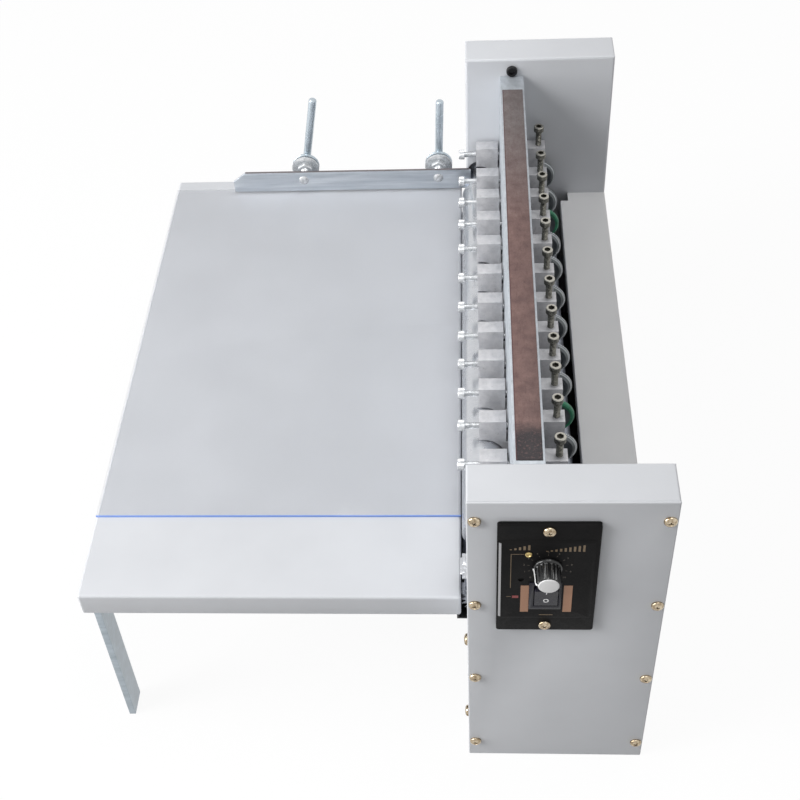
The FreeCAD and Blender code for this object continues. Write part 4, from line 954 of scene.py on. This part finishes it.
def knob(field):
    """Skirted pointer knob with a fluted grip, a white line and a white cap."""
    x, z = KNOB_AXIS
    stand = Matrix.Translation((x, field - 0.2 * MM, z)) @ facing(-ALONG)
    skirt = turned_mm((0, 0), (9.2, 0), (9.4, 0.3), (9.2, 1.5), (8.9, 2.0), (8.4, 2.4), (0, 2.4), steps=64)
    grip = turned_mm((0, 2), (8.3, 2), (8.2, 3), (7.6, 13.2), (7.3, 13.9), (6.7, 14.2), (0, 14.2), steps=96)
    ridged(grip, 16, 0.75 * MM, 2.2 * MM, 13.95 * MM)
    tip = prism_mm((8.0, -1.9), (9.6, -0.7), (9.9, 0), (9.6, 0.7), (8.0, 1.9), depth=2.3)
    soften(tip, 0.2 * MM, segments=1)
    pointing = stand @ Matrix.Rotation(math.radians(173), 4, "Z")
    piece("knob_body", join((skirt, stand), (grip, stand), (tip, pointing)), KNOB_BLACK, "knob",
          ("speed_knob",))
    line = prism_mm((6.2, 14.1), (7.1, 14.1), (7.95, 13.0), (8.6, 2.3), (9.5, 2.3), (9.5, 2.65),
                    (8.95, 2.7), (8.25, 13.2), (7.3, 14.5), (6.2, 14.5), depth=1.2)
    move(line, STANDING @ Matrix.Translation((0, 0, -0.6 * MM)))
    cap = turned_mm((0, 14), (6.5, 14), (6.5, 14.5), (6.2, 14.8), (5.6, 14.9), (0, 14.9))
    piece("knob_cap", join((cap, stand), (line, pointing)), WHITE, "knob")


def rocker():
    """The rocker with I and O let into its dished face."""
    bm = solids_of("power_rocker")
    tree = BVHTree.FromBMesh(bm)
    soften(bm, 0.4 * MM)
    piece("rocker_body", bm, ROCKER_NAVY, "rocker", ("power_rocker",))
    ring = cut_with(turned_mm((0, -0.2), (1.8, -0.2), (1.8, 0.04), (0, 0.04), steps=32),
                    turned_mm((0, -0.6), (1.1, -0.6), (1.1, 0.6), (0, 0.6), steps=32))
    stroke = slab((-0.35 * MM, -1.7 * MM, -0.2 * MM), (0.35 * MM, 1.7 * MM, 0.04 * MM))
    parts = []
    for mark, z in ((ring, 199.8 * MM), (stroke, 209.2 * MM)):
        point, normal = tree.ray_cast(Vector((KNOB_AXIS[0], -0.3, z)), ALONG)[:2]
        upright = Matrix.Rotation(math.atan2(normal.z, -normal.y), 4, "X").inverted()
        parts.append((on_front(mark), Matrix.Translation(point) @ upright))
    piece("rocker_marks", join(*parts), WHITE, "rocker")


# Sheet metal

def housings():
    """Boxes, cover plates, base pan and outfeed cover, each with its outer bends rounded; the base pan is
    coloured near black as painted shade.
    """
    for side, inner in (("near", -WALL_FACE), ("far", WALL_FACE)):
        node = side + "_housing_box"
        low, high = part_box(node)
        bm = solids_of(node)
        bend(bm, [(0, low.x), (0, high.x), (2, high.z), (1, inner)], 1.5 * MM)
        soften(bm, 0.45 * MM, segments=1)
        piece(side + "_box", bm, COAT, "machine_frame", (node,))
        node = side + "_cover_plate"
        low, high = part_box(node)
        outer = low.y if side == "near" else high.y
        bm = solids_of(node)
        bend(bm, [(0, low.x), (0, high.x), (2, high.z), (2, low.z), (1, outer)], 0.95 * MM)
        soften(bm, 0.4 * MM, segments=1)
        piece(side + "_plate", bm, COAT, "machine_frame", (node,))
    # The pan's near-black colour paints the shade in the gap beside the outfeed cover.
    dressed("body_pan", PAN_PAINTED_SHADE, width=0.2 * MM)
    low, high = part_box("outfeed_cover")
    bm = solids_of("outfeed_cover")
    bend(bm, [(0, low.x), (0, high.x), (2, high.z)], 0.9 * MM, segments=4)
    soften(bm, 0.2 * MM, segments=1)
    piece("outfeed_sheet", bm, COAT_GREY, "machine_frame", ("outfeed_cover",))


# Room, light and camera

def room():
    """Pale floor and white surroundings; a weaker world and the lamps light the object."""
    bm = bmesh.new()
    bmesh.ops.create_grid(bm, x_segments=1, y_segments=1, size=6)
    mesh = bpy.data.meshes.new("floor")
    bm.to_mesh(mesh)
    bm.free()
    thing = bpy.data.objects.new("floor", mesh)
    bpy.context.scene.collection.objects.link(thing)
    look = Look("floor_white", Roughness=0.9)
    dull = look.mix(look.noise(0.8), tone(178, 178, 178), tone(184, 184, 184))
    look.set("Base Color", look.mix(look.seen_directly(), dull, (1, 1, 1, 1)))
    glow = look.add("ShaderNodeEmission", None, {"Color": (1, 1, 1, 1), "Strength": 1.0})
    shaded = Wire(look, look.shader.outputs["BSDF"])
    share = FLOOR_WHITE * look.seen_directly()
    both = look.add("ShaderNodeMixShader", None, {0: share, 1: shaded, 2: glow})
    look.links.new(both.socket, look.nodes["Material Output"].inputs["Surface"])
    mesh.materials.append(look.material)
    world = bpy.data.worlds.new("studio")
    bpy.context.scene.world = world
    world.use_nodes = True
    graph = Graph(world.node_tree)
    dim = Wire(graph, graph.nodes["Background"].outputs["Background"])
    graph.nodes["Background"].inputs["Color"].default_value = (1, 1, 1, 1)
    graph.nodes["Background"].inputs["Strength"].default_value = WORLD_LEVEL
    white = graph.add("ShaderNodeBackground", None, {"Color": (1, 1, 1, 1), "Strength": 1.0})
    both = graph.add("ShaderNodeMixShader", None, {0: graph.seen_directly(), 1: dim, 2: white})
    graph.links.new(both.socket, graph.nodes["World Output"].inputs["Surface"])


def lamp(name, place, aim, size, level):
    """Square lamp; level is how bright it makes a white card that stands at aim and faces it."""
    light = bpy.data.lights.new(name, "AREA")
    light.shape = "SQUARE"
    light.size = size
    reach = Vector(aim) - Vector(place)
    light.energy = level * (math.pi * reach.length) ** 2
    thing = bpy.data.objects.new(name, light)
    bpy.context.scene.collection.objects.link(thing)
    thing.location = place
    thing.rotation_euler = reach.to_track_quat("-Z", "Y").to_euler()


def camera():
    """Camera at the photograph's viewing angle."""
    lens = bpy.data.cameras.new("camera")
    lens.sensor_width = 36
    lens.lens = 59.64
    lens.shift_x = 0.0208
    thing = bpy.data.objects.new("camera", lens)
    bpy.context.scene.collection.objects.link(thing)
    thing.location = (-0.05861, -0.77052, 0.89655)
    thing.rotation_euler = (math.radians(44.54), math.radians(3.04), math.radians(2.44))
    bpy.context.scene.camera = thing


def main():
    """Every piece, and then the room that it stands in."""
    camera()
    housings()
    table()
    guide()
    lever("left", x=-213 * MM, tilt=10, length=69.5)
    lever("right", x=-89 * MM, tilt=2, length=64)
    beam()
    heads()
    rollers()
    control_panel()
    cover_screws()
    room()
    lamp("key", (-1.9, -0.9, 1.7), AIM, size=0.9, level=0.5)
    lamp("side", (-2.4, -0.5, 0.75), AIM, size=1.2, level=0.5)
    lamp("top", (0.25, -0.1, 2.3), (-0.05, 0.0, 0.15), size=1.2, level=0.36)
    bpy.context.scene.view_settings.view_transform = "Standard"


main()
